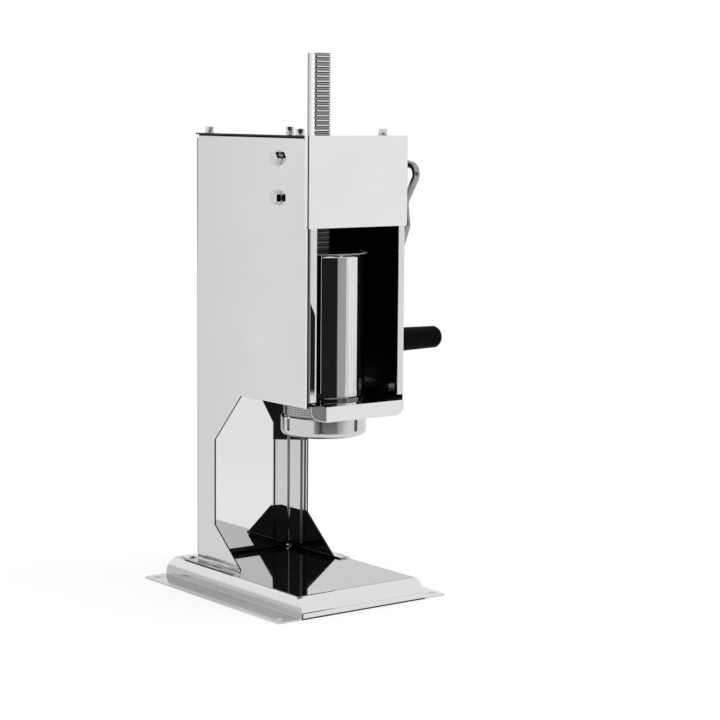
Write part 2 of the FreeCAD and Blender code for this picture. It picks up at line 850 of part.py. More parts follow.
def make_piston():
    """Piston disc with a groove for its seal and a recess for the screw head below."""
    profile = [
        (0, piston_bottom),
        (piston_radius - piston_edge, piston_bottom),
        (piston_radius, piston_bottom + piston_edge),
        (piston_radius, seal_low),
        (seal_groove_floor, seal_low),
        (seal_groove_floor, seal_high),
        (piston_radius, seal_high),
        (piston_radius, rack_bottom - piston_edge),
        (piston_radius - piston_edge, rack_bottom),
        (0, rack_bottom),
    ]
    disc = revolve_z(profile, 0, barrel_y)
    hole = cylinder_z(m8_shank_radius + screw_hole_gap, 0, rack_centre_y(), piston_bottom - past,
                      rack_bottom + past)
    recess = cylinder_z(piston_screw_head_radius + screw_hole_gap, 0, rack_centre_y(), piston_bottom - past,
                        piston_bottom + piston_screw_head_height)
    return cut(disc, [hole, recess])


def make_piston_seal():
    middle = (seal_low + seal_high) / 2.0
    profile = [
        (seal_groove_floor, seal_low),
        (piston_radius, seal_low),
        (seal_lip_radius, seal_low + piston_edge),
        (seal_lip_radius, seal_low + 2 * piston_edge),
        (piston_radius, middle),
        (seal_lip_radius, seal_high - 2 * piston_edge),
        (seal_lip_radius, seal_high - piston_edge),
        (piston_radius, seal_high),
        (seal_groove_floor, seal_high),
    ]
    return revolve_z(profile, 0, barrel_y)


def make_piston_screw():
    head = cylinder_z(piston_screw_head_radius, 0, rack_centre_y(), piston_bottom + screw_hole_gap,
                      piston_bottom + piston_screw_head_height)
    shank = cylinder_z(m8_shank_radius, 0, rack_centre_y(), piston_bottom + screw_hole_gap,
                       rack_bottom + piston_screw_depth - piston_screw_end_gap)
    return fuse([head, shank])


# ---- barrel, tray, ring nut, die plate ----

def make_barrel():
    """Straight barrel with a rolled rim, a seat flange and a threaded outlet neck."""
    rim_radius = barrel_outer_radius + barrel_rim_reach
    profile = [
        (barrel_inner_radius, neck_bore_top),
        (barrel_inner_radius, barrel_rim_top - turned_edge),
        (barrel_inner_radius + turned_edge, barrel_rim_top),
        (rim_radius - turned_edge, barrel_rim_top),
        (rim_radius, barrel_rim_top - turned_edge),
        (rim_radius, barrel_rim_top - barrel_rim_height + turned_edge),
        (rim_radius - turned_edge, barrel_rim_top - barrel_rim_height),
        (barrel_outer_radius, barrel_rim_top - barrel_rim_height - turned_edge),
        (barrel_outer_radius, tray_deck_top + neck_flange_height + turned_edge),
        (barrel_outer_radius + turned_edge, tray_deck_top + neck_flange_height),
        (barrel_outer_radius + neck_flange_reach, tray_deck_top + neck_flange_height),
        (barrel_outer_radius + neck_flange_reach, tray_deck_top),
        (neck_outer_radius, tray_deck_top),
        (neck_outer_radius, neck_bottom),
        (neck_inner_radius, neck_bottom),
        (neck_inner_radius, neck_bore_top - neck_taper),
    ]
    return revolve_z(profile, 0, barrel_y)


def is_tray_foot(edge):
    return is_along(edge, X_AXIS, past) and edge.BoundBox.ZMax < tray_apron_bottom + past


def tray_return(side, front_radius):
    """Side wall of the tray under the deck edge, with rounded lower corners."""
    x_outer = side * tray_half_width
    x_inner = x_outer - side * sheet
    wall = box(min(x_outer, x_inner), max(x_outer, x_inner), tray_front, tray_return_back,
               tray_apron_bottom, tray_deck_top)
    middle = (tray_front + tray_return_back) / 2.0
    wall = round_edges(wall, tray_corner_radius,
                       lambda edge: is_tray_foot(edge) and edge.BoundBox.YMin > middle)
    if front_radius > 0:
        wall = round_edges(wall, front_radius,
                           lambda edge: is_tray_foot(edge) and edge.BoundBox.YMax < middle)
    return wall


def make_barrel_tray():
    """Slide-in tray: deck with the neck hole, front apron and short side returns."""
    deck = box(-tray_half_width, tray_half_width, tray_front, tray_back, tray_deck_bottom, tray_deck_top)
    apron = box(-tray_half_width, tray_half_width, tray_front, tray_front + sheet, tray_apron_bottom,
                tray_deck_top)
    corner = [edge for edge in apron.Edges if is_along(edge, Y_AXIS, past)
              and edge.BoundBox.ZMax < tray_apron_bottom + past and edge.BoundBox.XMin > 0]
    apron = apron.makeFillet(tray_corner_radius, corner)
    tray = fuse([deck, apron, tray_return(-1, 0), tray_return(1, tray_corner_radius)])
    hole = cylinder_z(neck_outer_radius + tray_hole_gap, 0, barrel_y, tray_deck_bottom - past,
                      tray_deck_top + past)
    return cut(tray, [hole])


def rail_screw_places():
    return [rail_front + rail_screw_from_front, rail_back - rail_screw_from_back]


def make_tray_rail():
    """Left-hand angle rail on the inside of the side plate that carries the tray."""
    ledge = box(-plate_inner, -plate_inner + rail_reach, rail_front, rail_back, rail_bottom, tray_deck_bottom)
    leg = box(-plate_inner, -plate_inner + sheet, rail_front, rail_back, rail_bottom,
              rail_bottom + rail_height)
    rail = fuse([ledge, leg])
    holes = []
    for y in rail_screw_places():
        holes.append(cylinder_x(m6_shank_radius + screw_hole_gap, -plate_inner - past,
                                -plate_inner + sheet + past, y, rail_screw_z))
    return cut(rail, holes)


def make_rail_screws():
    screws = []
    seat = plate_inner - sheet
    for y in rail_screw_places():
        head = hexagon_x(m6_head_radius, -seat, -seat + m6_head_height, y, rail_screw_z, 0.0)
        shank = cylinder_x(m6_shank_radius, -plate_inner - sheet / 2.0, -seat + past, y, rail_screw_z)
        screw = fuse([head, shank])
        screws.append(screw)
        screws.append(mirrored(screw))
    return Part.makeCompound(screws)


def make_ring_nut():
    """Ring nut with round outer edges, an inner lip for the die and round grip grooves."""
    inner = neck_outer_radius + ring_thread_gap
    outer = [
        Vector(ring_nut_opening, barrel_y, ring_nut_bottom),
        Vector(ring_nut_radius, barrel_y, ring_nut_bottom),
        Vector(ring_nut_radius, barrel_y, ring_nut_top),
        Vector(inner, barrel_y, ring_nut_top),
    ]
    lip = [
        Vector(inner, barrel_y, die_bottom),
        Vector(ring_nut_opening, barrel_y, die_bottom),
    ]
    edges = rounded_run(outer, [ring_nut_lower_round, ring_nut_upper_round])
    for first, second in ((outer[-1], lip[0]), (lip[0], lip[1]), (lip[1], outer[0])):
        edges.extend(straight(first, second))
    ring = Part.Face(Part.Wire(edges)).revolve(Vector(0, barrel_y, 0), Z_AXIS, 360)
    groove_circle = ring_nut_radius - groove_depth + groove_radius
    groove_bottom = ring_nut_bottom + groove_from_bottom
    grooves = []
    for groove in range(groove_count):
        angle = math.radians(groove_phase + 360.0 * groove / groove_count)
        x = groove_circle * math.cos(angle)
        y = barrel_y + groove_circle * math.sin(angle)
        shoulder_z = groove_bottom + groove_depth
        grooves.append(cylinder_z(groove_radius, x, y, shoulder_z, ring_nut_top + past))
        grooves.append(Part.makeCone(groove_radius - groove_depth, groove_radius, groove_depth,
                                     Vector(x, y, groove_bottom), Z_AXIS))
    return cut(ring, grooves)


def make_die_plate():
    """Round die plate with a hexagonal pattern of extrusion holes."""
    plate = cylinder_z(die_radius, 0, barrel_y, die_bottom, neck_bottom)
    holes = []
    for row in range(-die_hole_rings, die_hole_rings + 1):
        count = 2 * die_hole_rings + 1 - abs(row)
        for column in range(count):
            x = (column - (count - 1) / 2.0) * die_hole_pitch
            y = barrel_y + row * die_hole_pitch * math.sqrt(3) / 2.0
            holes.append(cylinder_z(die_hole_radius, x, y, die_bottom - past, neck_bottom + past))
    return plate.cut(Part.makeCompound(holes))


# ---- crank arm and grip ----

def rod_path():
    """Bent centre line of the crank rod, straight runs joined by round corners."""
    end_x = grip_end - grip_wall_end - grip_dome
    corners = [
        Vector(crank_plane_x, shaft_y - shaft_radius - shaft_fit, upper_shaft_z - rod_start_drop),
        Vector(crank_plane_x, rod_bend_y, rod_bend_z),
        Vector(crank_plane_x, rod_waist_y, rod_waist_z),
        Vector(crank_plane_x, rod_elbow_y, rod_elbow_z),
        Vector(crank_plane_x, rod_shoulder_y, rod_shoulder_z),
        Vector(crank_plane_x, grip_y, grip_z),
        Vector(end_x, grip_y, grip_z),
    ]
    radii = [rod_bend_radius, rod_waist_radius, rod_elbow_radius, rod_shoulder_radius, rod_end_radius]
    return corners, Part.Wire(rounded_run(corners, radii))


def make_crank_arm():
    """Clamp hub with the S-bent round rod, whose last run is the spindle of the grip."""
    corners, path = rod_path()
    heading = corners[1] - corners[0]
    ring = Part.Wire(Part.makeCircle(rod_radius, corners[0], heading))
    rod = path.makePipeShell([ring], True, False)
    hub = cylinder_x(hub_radius, crank_plane_x - hub_half_length, crank_plane_x + hub_half_length,
                     shaft_y, upper_shaft_z)
    arm = fuse([hub, rod])
    bore = cylinder_x(shaft_radius + shaft_fit, crank_plane_x - hub_half_length - past,
                      crank_plane_x + hub_half_length + past, shaft_y, upper_shaft_z)
    screw_hole = cylinder_y(hub_screw_radius, crank_plane_x, shaft_y, shaft_y + hub_radius + past,
                            upper_shaft_z)
    return cut(arm, [bore, screw_hole])


def make_hub_screw():
    """Socket set screw that locks the hub on the shaft."""
    hub_face = shaft_y + hub_radius
    screw = cylinder_y(hub_screw_radius, crank_plane_x, shaft_y + shaft_radius, hub_face, upper_shaft_z)
    socket = cylinder_y(hub_screw_radius / 2.0, crank_plane_x, hub_face - hub_socket_depth,
                        hub_face + past, upper_shaft_z)
    return cut(screw, [socket])


def make_grip_collar():
    end = grip_start - grip_collar_play
    ring = cylinder_x(grip_collar_radius, end - grip_collar_sheet, end, grip_y, grip_z)
    return cut(ring, [cylinder_x(rod_radius, end - grip_collar_sheet - past, end + past, grip_y, grip_z)])


def make_grip():
    """Moulded grip: a waisted neck, a slightly tapered body and a domed closed end."""
    body_start = grip_start + grip_neck_length
    dome_start = grip_end - grip_dome
    bottom = Vector(grip_start, grip_y, grip_z)
    outline = [
        Vector(grip_start, grip_neck_radius - grip_rim, 0),
        Vector(grip_start + grip_rim, grip_neck_radius, 0),
        Vector(body_start, grip_radius - grip_shoulder_drop, 0),
        Vector(body_start + grip_shoulder_run, grip_radius, 0),
        Vector(dome_start, grip_end_radius, 0),
        Vector(grip_end - grip_dome / 3.0, grip_end_radius - grip_dome_step, 0),
        Vector(grip_end, grip_end_radius - grip_dome_flat, 0),
        Vector(grip_end, 0, 0),
        Vector(grip_start, 0, 0),
    ]
    points = [Vector(point.x, grip_y + point.y, grip_z) for point in outline]
    solid = Part.Face(Part.makePolygon(points + [points[0]])).revolve(bottom, X_AXIS, 360)
    bore_end = grip_end - grip_wall_end - grip_dome + grip_collar_play
    bore = cylinder_x(rod_radius + grip_bore_gap, grip_start - past, bore_end, grip_y, grip_z)
    return cut(solid, [bore])


def lower_shaft_bolts():
    left = shaft_end_bolt(lower_shaft_z)
    return Part.makeCompound([left, mirrored(left)])


left_side_plate = make_side_plate(left_strip_width)
right_side_plate = mirrored(make_side_plate(right_strip_width))
left_bearing_plate = make_bearing_plate()
left_tray_rail = make_tray_rail()

nodes = {
    "base_plate": make_base_plate(),
    "left_side_plate": left_side_plate,
    "right_side_plate": right_side_plate,
    "back_plate": make_back_plate(),
    "top_plate": make_top_plate(),
    "front_cover": make_front_cover(),
    "top_screws": make_top_screws(),
    "foot_bolts": make_foot_bolts(),
    "left_bearing_plate": left_bearing_plate,
    "right_bearing_plate": mirrored(left_bearing_plate),
    "rack_guide": make_rack_guide(),
    "left_tray_rail": left_tray_rail,
    "right_tray_rail": mirrored(left_tray_rail),
    "rail_screws": make_rail_screws(),
    "barrel_tray": make_barrel_tray(),
    "barrel": make_barrel(),
    "crank_shaft": make_crank_shaft(),
    "crank_pinion": make_crank_pinion(),
    "crank_shaft_bolt": shaft_end_bolt(upper_shaft_z),
    "crank_arm": make_crank_arm(),
    "hub_screw": make_hub_screw(),
    "grip_collar": make_grip_collar(),
    "grip": make_grip(),
    "gear_shaft": make_gear_shaft(),
    "reduction_gear": make_reduction_gear(),
    "gear_shaft_bolts": lower_shaft_bolts(),
    "rack": make_rack(),
    "piston": make_piston(),
    "piston_seal": make_piston_seal(),
    "piston_screw": make_piston_screw(),
    "die_plate": make_die_plate(),
    "ring_nut": make_ring_nut(),
}

for name, shape in nodes.items():
    shape.exportStep("parts/" + name + ".step")
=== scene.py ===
"""Looks of a hand-cranked pasta extruder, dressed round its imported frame."""

import logging
import math
from dataclasses import dataclass, field
from enum import Enum
from typing import NamedTuple, Sequence

import bmesh
import bpy
from mathutils import Matrix, Vector


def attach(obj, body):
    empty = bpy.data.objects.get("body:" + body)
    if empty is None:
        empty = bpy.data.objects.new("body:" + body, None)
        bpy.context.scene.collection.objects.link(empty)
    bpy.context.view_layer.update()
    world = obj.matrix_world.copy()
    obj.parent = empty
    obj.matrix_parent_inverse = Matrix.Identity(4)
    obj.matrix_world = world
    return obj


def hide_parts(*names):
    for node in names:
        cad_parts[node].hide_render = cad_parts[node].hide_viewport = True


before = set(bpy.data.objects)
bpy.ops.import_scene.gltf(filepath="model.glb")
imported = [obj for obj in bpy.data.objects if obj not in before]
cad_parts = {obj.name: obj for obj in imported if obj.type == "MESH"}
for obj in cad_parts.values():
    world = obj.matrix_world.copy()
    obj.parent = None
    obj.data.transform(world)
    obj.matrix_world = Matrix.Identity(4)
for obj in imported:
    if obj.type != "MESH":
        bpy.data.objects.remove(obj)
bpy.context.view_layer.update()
log = logging.getLogger("extruder")

Colour = tuple[float, float, float]
Material = bpy.types.Material
Socket = bpy.types.NodeSocket
Mesh = bmesh.types.BMesh
Verts = Sequence[bmesh.types.BMVert]
MM = 0.001
FULL_TURN = 2.0 * math.pi
# A surface faces an axis where its normal has more than this share along it.
FACING = 0.5
# Half the width of a soft border between two finishes.
SOFT = 0.5 * MM
# Vertices closer than this are one.
MERGE = 0.002 * MM
# Vertices nearer to a cutting plane than this lie on it.
ON_PLANE = 0.1 * MM * MM


class Grain(Enum):
    """Direction in which a surface was polished or turned."""

    UP = (1.0, 1.0, 0.02)
    ACROSS = (0.02, 1.0, 1.0)
    DEEP = (1.0, 0.02, 1.0)
    NONE = (1.0, 1.0, 1.0)


class Axis(Enum):
    """Axis of the row frame that a turned piece is built along."""

    X = "x"
    Z = "z"


class Wire:
    """A node output that takes part in Python arithmetic."""

    def __init__(self, graph: "Graph", socket: Socket) -> None:
        """Keeps the graph and its output.

        Args:
            graph: the graph that new Math nodes go into.
            socket: the output that this wire stands for.
        """
        self.graph = graph
        self.socket = socket

    def __add__(self, other: "Wire | float") -> "Wire":
        """Sum of two values."""
        return self.graph.maths("ADD", self, other)

    __radd__ = __add__

    def __mul__(self, other: "Wire | float") -> "Wire":
        """Product of two values."""
        return self.graph.maths("MULTIPLY", self, other)

    __rmul__ = __mul__

    def __sub__(self, other: "Wire | float") -> "Wire":
        """Difference of two values."""
        return self.graph.maths("SUBTRACT", self, other)

    def __rsub__(self, other: "Wire | float") -> "Wire":
        """Difference with the number on the left."""
        return self.graph.maths("SUBTRACT", other, self)

    def __gt__(self, other: "Wire | float") -> "Wire":
        """One where this value is larger."""
        return self.graph.maths("GREATER_THAN", self, other)

    def __lt__(self, other: "Wire | float") -> "Wire":
        """One where this value is smaller."""
        return self.graph.maths("LESS_THAN", self, other)

    def __abs__(self) -> "Wire":
        """Size of this value without its sign."""
        return self.graph.maths("ABSOLUTE", self, 0.0)

    def sine(self) -> "Wire":
        """Sine of this value in radians."""
        return self.graph.maths("SINE", self, 0.0)

    def root(self) -> "Wire":
        """Square root of this value."""
        return self.graph.maths("SQRT", self, 0.0)

    def smooth(self, low: float, high: float) -> "Wire":
        """Smooth step of this value.

        Args:
            low: value at which the step is 0.
            high: value at which the step is 1.

        Returns:
            A wire from 0 to 1.
        """
        node = self.graph.node("ShaderNodeMapRange", {"interpolation_type": "SMOOTHSTEP"},
                               {"Value": self, "From Min": low, "From Max": high})
        return Wire(self.graph, node.outputs["Result"])


class Patch(NamedTuple):
    """A region of a surface with a grey level, roughness and metalness of its own, for its own finish and for
    painted light and shade.
    """

    mask: Wire
    level: float
    roughness: float
    metallic: float = 1.0


class Graph:
    """The node tree of one material or of the world."""

    def __init__(self, tree: bpy.types.NodeTree) -> None:
        """Empties the tree.

        Args:
            tree: the node tree to fill.
        """
        self.tree = tree
        tree.nodes.clear()

    def node(self, kind: str, settings: dict | None = None, inputs: dict | None = None) -> bpy.types.Node:
        """Adds one node.

        Args:
            kind: the node's type name.
            settings: properties of the node, set before its sockets.
            inputs: values or wires for its sockets, by name or number.

        Returns:
            The new node.
        """
        node = self.tree.nodes.new(kind)
        for key, value in (settings or {}).items():
            setattr(node, key, value)
        for key, value in (inputs or {}).items():
            socket = node.inputs[key]
            if isinstance(value, Wire):
                self.tree.links.new(value.socket, socket)
            elif isinstance(value, Socket):
                self.tree.links.new(value, socket)
            elif isinstance(value, tuple) and len(value) == 3 and socket.type == "RGBA":
                socket.default_value = (*value, 1.0)
            else:
                socket.default_value = value
        return node

    def maths(self, operation: str, first: Wire | float, second: Wire | float) -> Wire:
        """Adds a Math node.

        Args:
            operation: the node's operation.
            first: left value.
            second: right value.

        Returns:
            The result.
        """
        node = self.node("ShaderNodeMath", {"operation": operation}, {0: first, 1: second})
        return Wire(self, node.outputs[0])

    def split(self, source: str) -> tuple[Wire, Wire, Wire]:
        """Splits an output of the Texture Coordinate node.

        Args:
            source: "Object" for the place in metres, "Normal" for the facing.

        Returns:
            Its three parts.
        """
        where = self.node("ShaderNodeTexCoord")
        parts = self.node("ShaderNodeSeparateXYZ", {}, {"Vector": where.outputs[source]})
        return Wire(self, parts.outputs["X"]), Wire(self, parts.outputs["Y"]), Wire(self, parts.outputs["Z"])

    def ray(self, kind: str) -> Wire:
        """One where the ray is of a kind, such as Camera or Glossy."""
        return Wire(self, self.node("ShaderNodeLightPath").outputs[f"Is {kind} Ray"])

    def noise(self, scale: float, detail: float = 3.0, stretch: Sequence[float] = Grain.NONE.value) -> Wire:
        """Noise on object coordinates.

        Args:
            scale: cells per metre.
            detail: octaves.
            stretch: scale along X, Y and Z.

        Returns:
            A value around 0.5.
        """
        where = self.node("ShaderNodeTexCoord")
        turn = self.node("ShaderNodeMapping", {},
                         {"Vector": where.outputs["Object"], "Scale": tuple(stretch)})
        node = self.node("ShaderNodeTexNoise", {"noise_dimensions": "3D"},
                         {"Vector": turn.outputs["Vector"], "Scale": scale, "Detail": detail})
        return Wire(self, node.outputs["Fac"])

    def blend(self, mask: Wire, low: Colour | Socket, high: Colour | Socket) -> Socket:
        """Mixes two colours.

        Args:
            mask: 0 for the first colour, 1 for the second.
            low: first colour.
            high: second colour.

        Returns:
            The colour output.
        """
        node = self.node("ShaderNodeMix", {"data_type": "RGBA"}, {0: mask, 6: low, 7: high})
        return node.outputs[2]

    def bump(self, height: Wire, strength: float, distance: float) -> Socket:
        """Bump from a height.

        Args:
            height: height field.
            strength: strength of the bump.
            distance: depth of a height of 1, in metres.

        Returns:
            The normal output.
        """
        node = self.node("ShaderNodeBump", {}, {"Height": height, "Strength": strength, "Distance": distance})
        return node.outputs["Normal"]

    def surface(self, colour: Socket, roughness: Wire, normal: Socket,
                patches: Sequence[Patch] = (), **uniform: float) -> None:
        """Ends the graph in a Principled surface, with its patches laid over it.

        Args:
            colour: colour of the main surface.
            roughness: roughness of the main surface.
            normal: the bumped normal.
            patches: regions with another finish and regions of painted light and shade, the last one on top.
            uniform: values that are the same all over, by socket name with _ for a blank.
        """
        inputs = {name.replace("_", " "): value for name, value in uniform.items()}
        for patch in patches:
            colour = self.blend(patch.mask, colour, grey(patch.level))
            roughness = roughness * (1.0 - patch.mask) + patch.mask * patch.roughness
            if patch.metallic < 1.0:
                inputs["Metallic"] = (1.0 - patch.mask) * inputs["Metallic"] + patch.mask * patch.metallic
        inputs.update({"Base Color": colour, "Roughness": roughness, "Normal": normal})
        shader = self.node("ShaderNodeBsdfPrincipled", {}, inputs)
        self.node("ShaderNodeOutputMaterial", {}, {"Surface": shader.outputs[0]})


def shade(colour: Colour, factor: float) -> Colour:
    """Scales a colour, kept within 0 to 1.

    Args:
        colour: the colour.
        factor: the scale.

    Returns:
        The scaled colour.
    """
    return tuple(min(1.0, max(0.0, part * factor)) for part in colour)


def grey(level: float) -> Colour:
    """Returns a neutral grey with a trace of blue."""
    return (level, level, min(1.0, level * 1.008))


def new_material(name: str) -> tuple[Material, Graph]:
    """Starts a material.

    Args:
        name: its name.

    Returns:
        The material and its empty graph.
    """
    material = bpy.data.materials.new(name)
    material.use_nodes = True
    return material, Graph(material.node_tree)


@dataclass(frozen=True)
class PolishedSteel:
    """Mirror-polished stainless sheet with faint polishing lines, wipe marks and a slight waviness."""

    name: str
    level: float = 0.70
    roughness: float = 0.035
    grain: Grain = Grain.UP
    lines: float = 900.0
    wave: float = 0.05
    clouds: float = 9.0
    scratches: float = 2600.0
    wipes: float = 26.0
    waves: float = 6.0

    def patches(self, graph: Graph) -> list[Patch]:
        """Returns the regions with another finish and the regions of painted light and shade."""
        return []

    def material(self) -> Material:
        """Builds the material."""
        material, graph = new_material(self.name)
        cloud = graph.noise(self.clouds, 4.0)
        lines = graph.noise(self.lines, 2.0, self.grain.value)
        scratch = graph.noise(self.scratches, 1.0, self.grain.value).smooth(0.70, 0.78)
        wipe = graph.noise(self.wipes, 5.0, (1.0, 1.0, 0.35)).smooth(0.52, 0.72)
        height = graph.noise(self.waves, 1.0) * 0.9 + lines * 0.012 - scratch * 0.006
        steel = grey(self.level)
        graph.surface(
            graph.blend(cloud.smooth(0.3, 0.7), shade(steel, 0.975), shade(steel, 1.02)),
            self.roughness + wipe * 0.02 + lines * 0.02 + scratch * 0.04,
            graph.bump(height, self.wave, 1.5 * MM),
            self.patches(graph), Metallic=1.0)
        return material


@dataclass(frozen=True)
class HeadSideSteel(PolishedSteel):
    """Side sheet: bright outside and in the throat, painted shade inside the head and at its foot, painted
    dark reflections in the rear bend and on the strip edge, a painted highlight on the front bend, painted
    reflection streaks on the foot, dark cut edges.
    """

    inside_above: float = 265.0 * MM
    half_width: float = 78.0 * MM
    flange_end: float = 96.7 * MM
    front: float = -137.7 * MM
    rear: float = 118.0 * MM
    seam_top: float = 35.0 * MM
    skin: float = 5.0 * MM
    sheet: float = 2.1 * MM
    bend: float = 3.4 * MM
    rear_band: float = 5.0 * MM
    dark_rear: tuple[float, float] = (420.0 * MM, 520.0 * MM)
    strip_end: float = -73.4 * MM
    shadow_left: float = -73.2 * MM
    shadow_width: float = 7.5 * MM
    shadow_tip: float = 402.0 * MM
    shadow_full: float = 380.0 * MM
    shadow_foot: tuple[float, float] = (278.0 * MM, 290.0 * MM)

    def patches(self, graph: Graph) -> list[Patch]:
        """Returns the painted shade inside the head and at its foot, the throat's reflecting inside, the
        painted reflections and highlight on the bends, strip edge and foot, and the cut edges.
        """
        x, y, z = graph.split("Object")
        face_x, face_y, face_z = graph.split("Normal")
        inward = (x * face_x) < -0.4 * self.half_width
        inner_skin = inward * (abs(x) > self.half_width - self.skin)
        high = z.smooth(self.inside_above - SOFT, self.inside_above + SOFT)
        cut = (abs(face_x) < FACING) * (abs(x) > self.half_width - self.sheet)
        cut = cut * (abs(x) < self.half_width + 0.2 * MM) * (y > self.front + self.bend)
        strip_edge = (face_y < -0.6) * (y < self.front + 2.0 * MM) * (x < self.strip_end)
        rim = (abs(x) > self.flange_end) * (abs(face_z) < FACING)
        seam = inner_skin * (z < self.seam_top)
        rear_bend = (y > self.rear - self.rear_band) * (abs(x) > self.half_width - self.bend)
        front_bend = (y < self.front + self.bend) * (abs(x) > self.half_width - 1.2 * MM)
        foot = (z < self.seam_top) * (abs(x) > self.half_width - 0.3 * MM) * (1.0 - rim)
        streaks = graph.noise(120.0, 3.0, (1.0, 0.12, 2.6)).smooth(0.46, 0.56)
        return [
            # painted shade: the sheet darkens towards the rear
            Patch(y.smooth(-60.0 * MM, self.rear) * 0.6, 0.58, self.roughness),
            # painted highlight on the front bend, which is also rougher
            Patch(front_bend, 0.80, 0.38),
            # painted dark reflection along the front strip's edge
            Patch(strip_edge, 0.17, 0.10),
            Patch(inner_skin, 0.645, 0.012),
            # painted shade inside the head
            Patch(inner_skin * high, 0.012, 0.3),
            # painted shade on the inner faces at the foot
            Patch(seam, 0.015, 0.3),
            # painted reflection streaks on the foot
            Patch(foot * streaks * 0.75, 0.16, 0.12),
            # painted dark reflection in the rear bend, darker higher up
            Patch(rear_bend * (0.4 + z.smooth(*self.dark_rear) * 0.6), 0.02, 0.2),
            Patch(cut, 0.035, 0.25),
            Patch(rim, 0.05, 0.25),
            # painted shade in a tapering band on the front strip
            Patch(self.fold_shadow(x, y, z, face_y), 0.012, 0.2),
        ]

    def fold_shadow(self, x: Wire, y: Wire, z: Wire, face_y: Wire) -> Wire:
        """Tapering band of painted shade on the lower half of the left front strip.

        Args:
            x: place across.
            y: place in depth.
            z: height.
            face_y: how far the surface faces the rear.

        Returns:
            The band's mask.
        """
        spread = z.smooth(self.shadow_tip, self.shadow_full) * self.shadow_width
        near = (x > self.shadow_left) * (x < self.shadow_left + spread)
        strip = (face_y < -0.8) * (y < self.front + 1.0 * MM)
        return near * strip * (z < self.shadow_tip - 1.0 * MM) * z.smooth(*self.shadow_foot)


@dataclass(frozen=True)
class BackSteel(PolishedSteel):
    """Back sheet: bright wall with a lap seam in the throat, painted shade inside the head, at the foot and
    underneath, painted dark reflections in its bends.
    """

    inside_above: float = 265.0 * MM
    seam_top: float = 35.0 * MM
    wall_front: float = 114.0 * MM
    cheek_front: float = 86.0 * MM
    lap_x: float = 49.6 * MM
    lap_half: float = 1.4 * MM
    round_from: float = 0.12

    def patches(self, graph: Graph) -> list[Patch]:
        """Returns the throat's wall, the painted dark reflection in its bends, its lap, the painted shade
        inside the head, at the foot and underneath, and the cut edges.
        """
        x, y, z = graph.split("Object")
        face_x, face_y, face_z = graph.split("Normal")
        front = face_y < -FACING
        cheek = (abs(face_x) > FACING) * (y < self.wall_front)
        inner = front + cheek - front * cheek
        high = z.smooth(self.inside_above - SOFT, self.inside_above + SOFT)
        seam = inner * (z < self.seam_top)
        cut = front * (y < self.cheek_front + 1.0 * MM)
        bend = (abs(face_x) > self.round_from) * (abs(face_y) > self.round_from)
        bend = bend * (y < self.wall_front + 0.1 * MM)
        return [
            Patch(inner, 0.745, 0.012),
            # painted dark reflection in the bends
            Patch(bend, 0.16, 0.08),
            Patch(front * (abs(abs(x) - self.lap_x) < self.lap_half), 0.03, 0.2),
            # painted shade inside the head
            Patch(inner * high, 0.012, 0.3),
            # painted shade on the inner faces at the foot
            Patch(seam, 0.02, 0.3),
            Patch(cut * (1.0 - high) * (1.0 - seam), 0.22, 0.3),
            # painted shade on the underside
            Patch(face_z < -FACING, 0.02, 0.3),
        ]


@dataclass(frozen=True)
class TopSteel(PolishedSteel):
    """Top sheet with a dark cut edge and a shaded underside."""

    def patches(self, graph: Graph) -> list[Patch]:
        """Returns the edges and the underside."""
        _, _, face_z = graph.split("Normal")
        return [Patch(face_z < FACING, 0.03, 0.25)]


@dataclass(frozen=True)
class CoverSteel(PolishedSteel):
    """Front cover with a shaded inside and a fine dark lower edge."""

    bottom: float = 491.7 * MM
    hem: float = 2.5 * MM

    def patches(self, graph: Graph) -> list[Patch]:
        """Returns the inside and the lower edge."""
        _, _, z = graph.split("Object")
        _, face_y, face_z = graph.split("Normal")
        return [
            Patch(face_y > FACING, 0.02, 0.3),
            Patch((face_z < -FACING) * (z < self.bottom + self.hem), 0.03, 0.3),
        ]


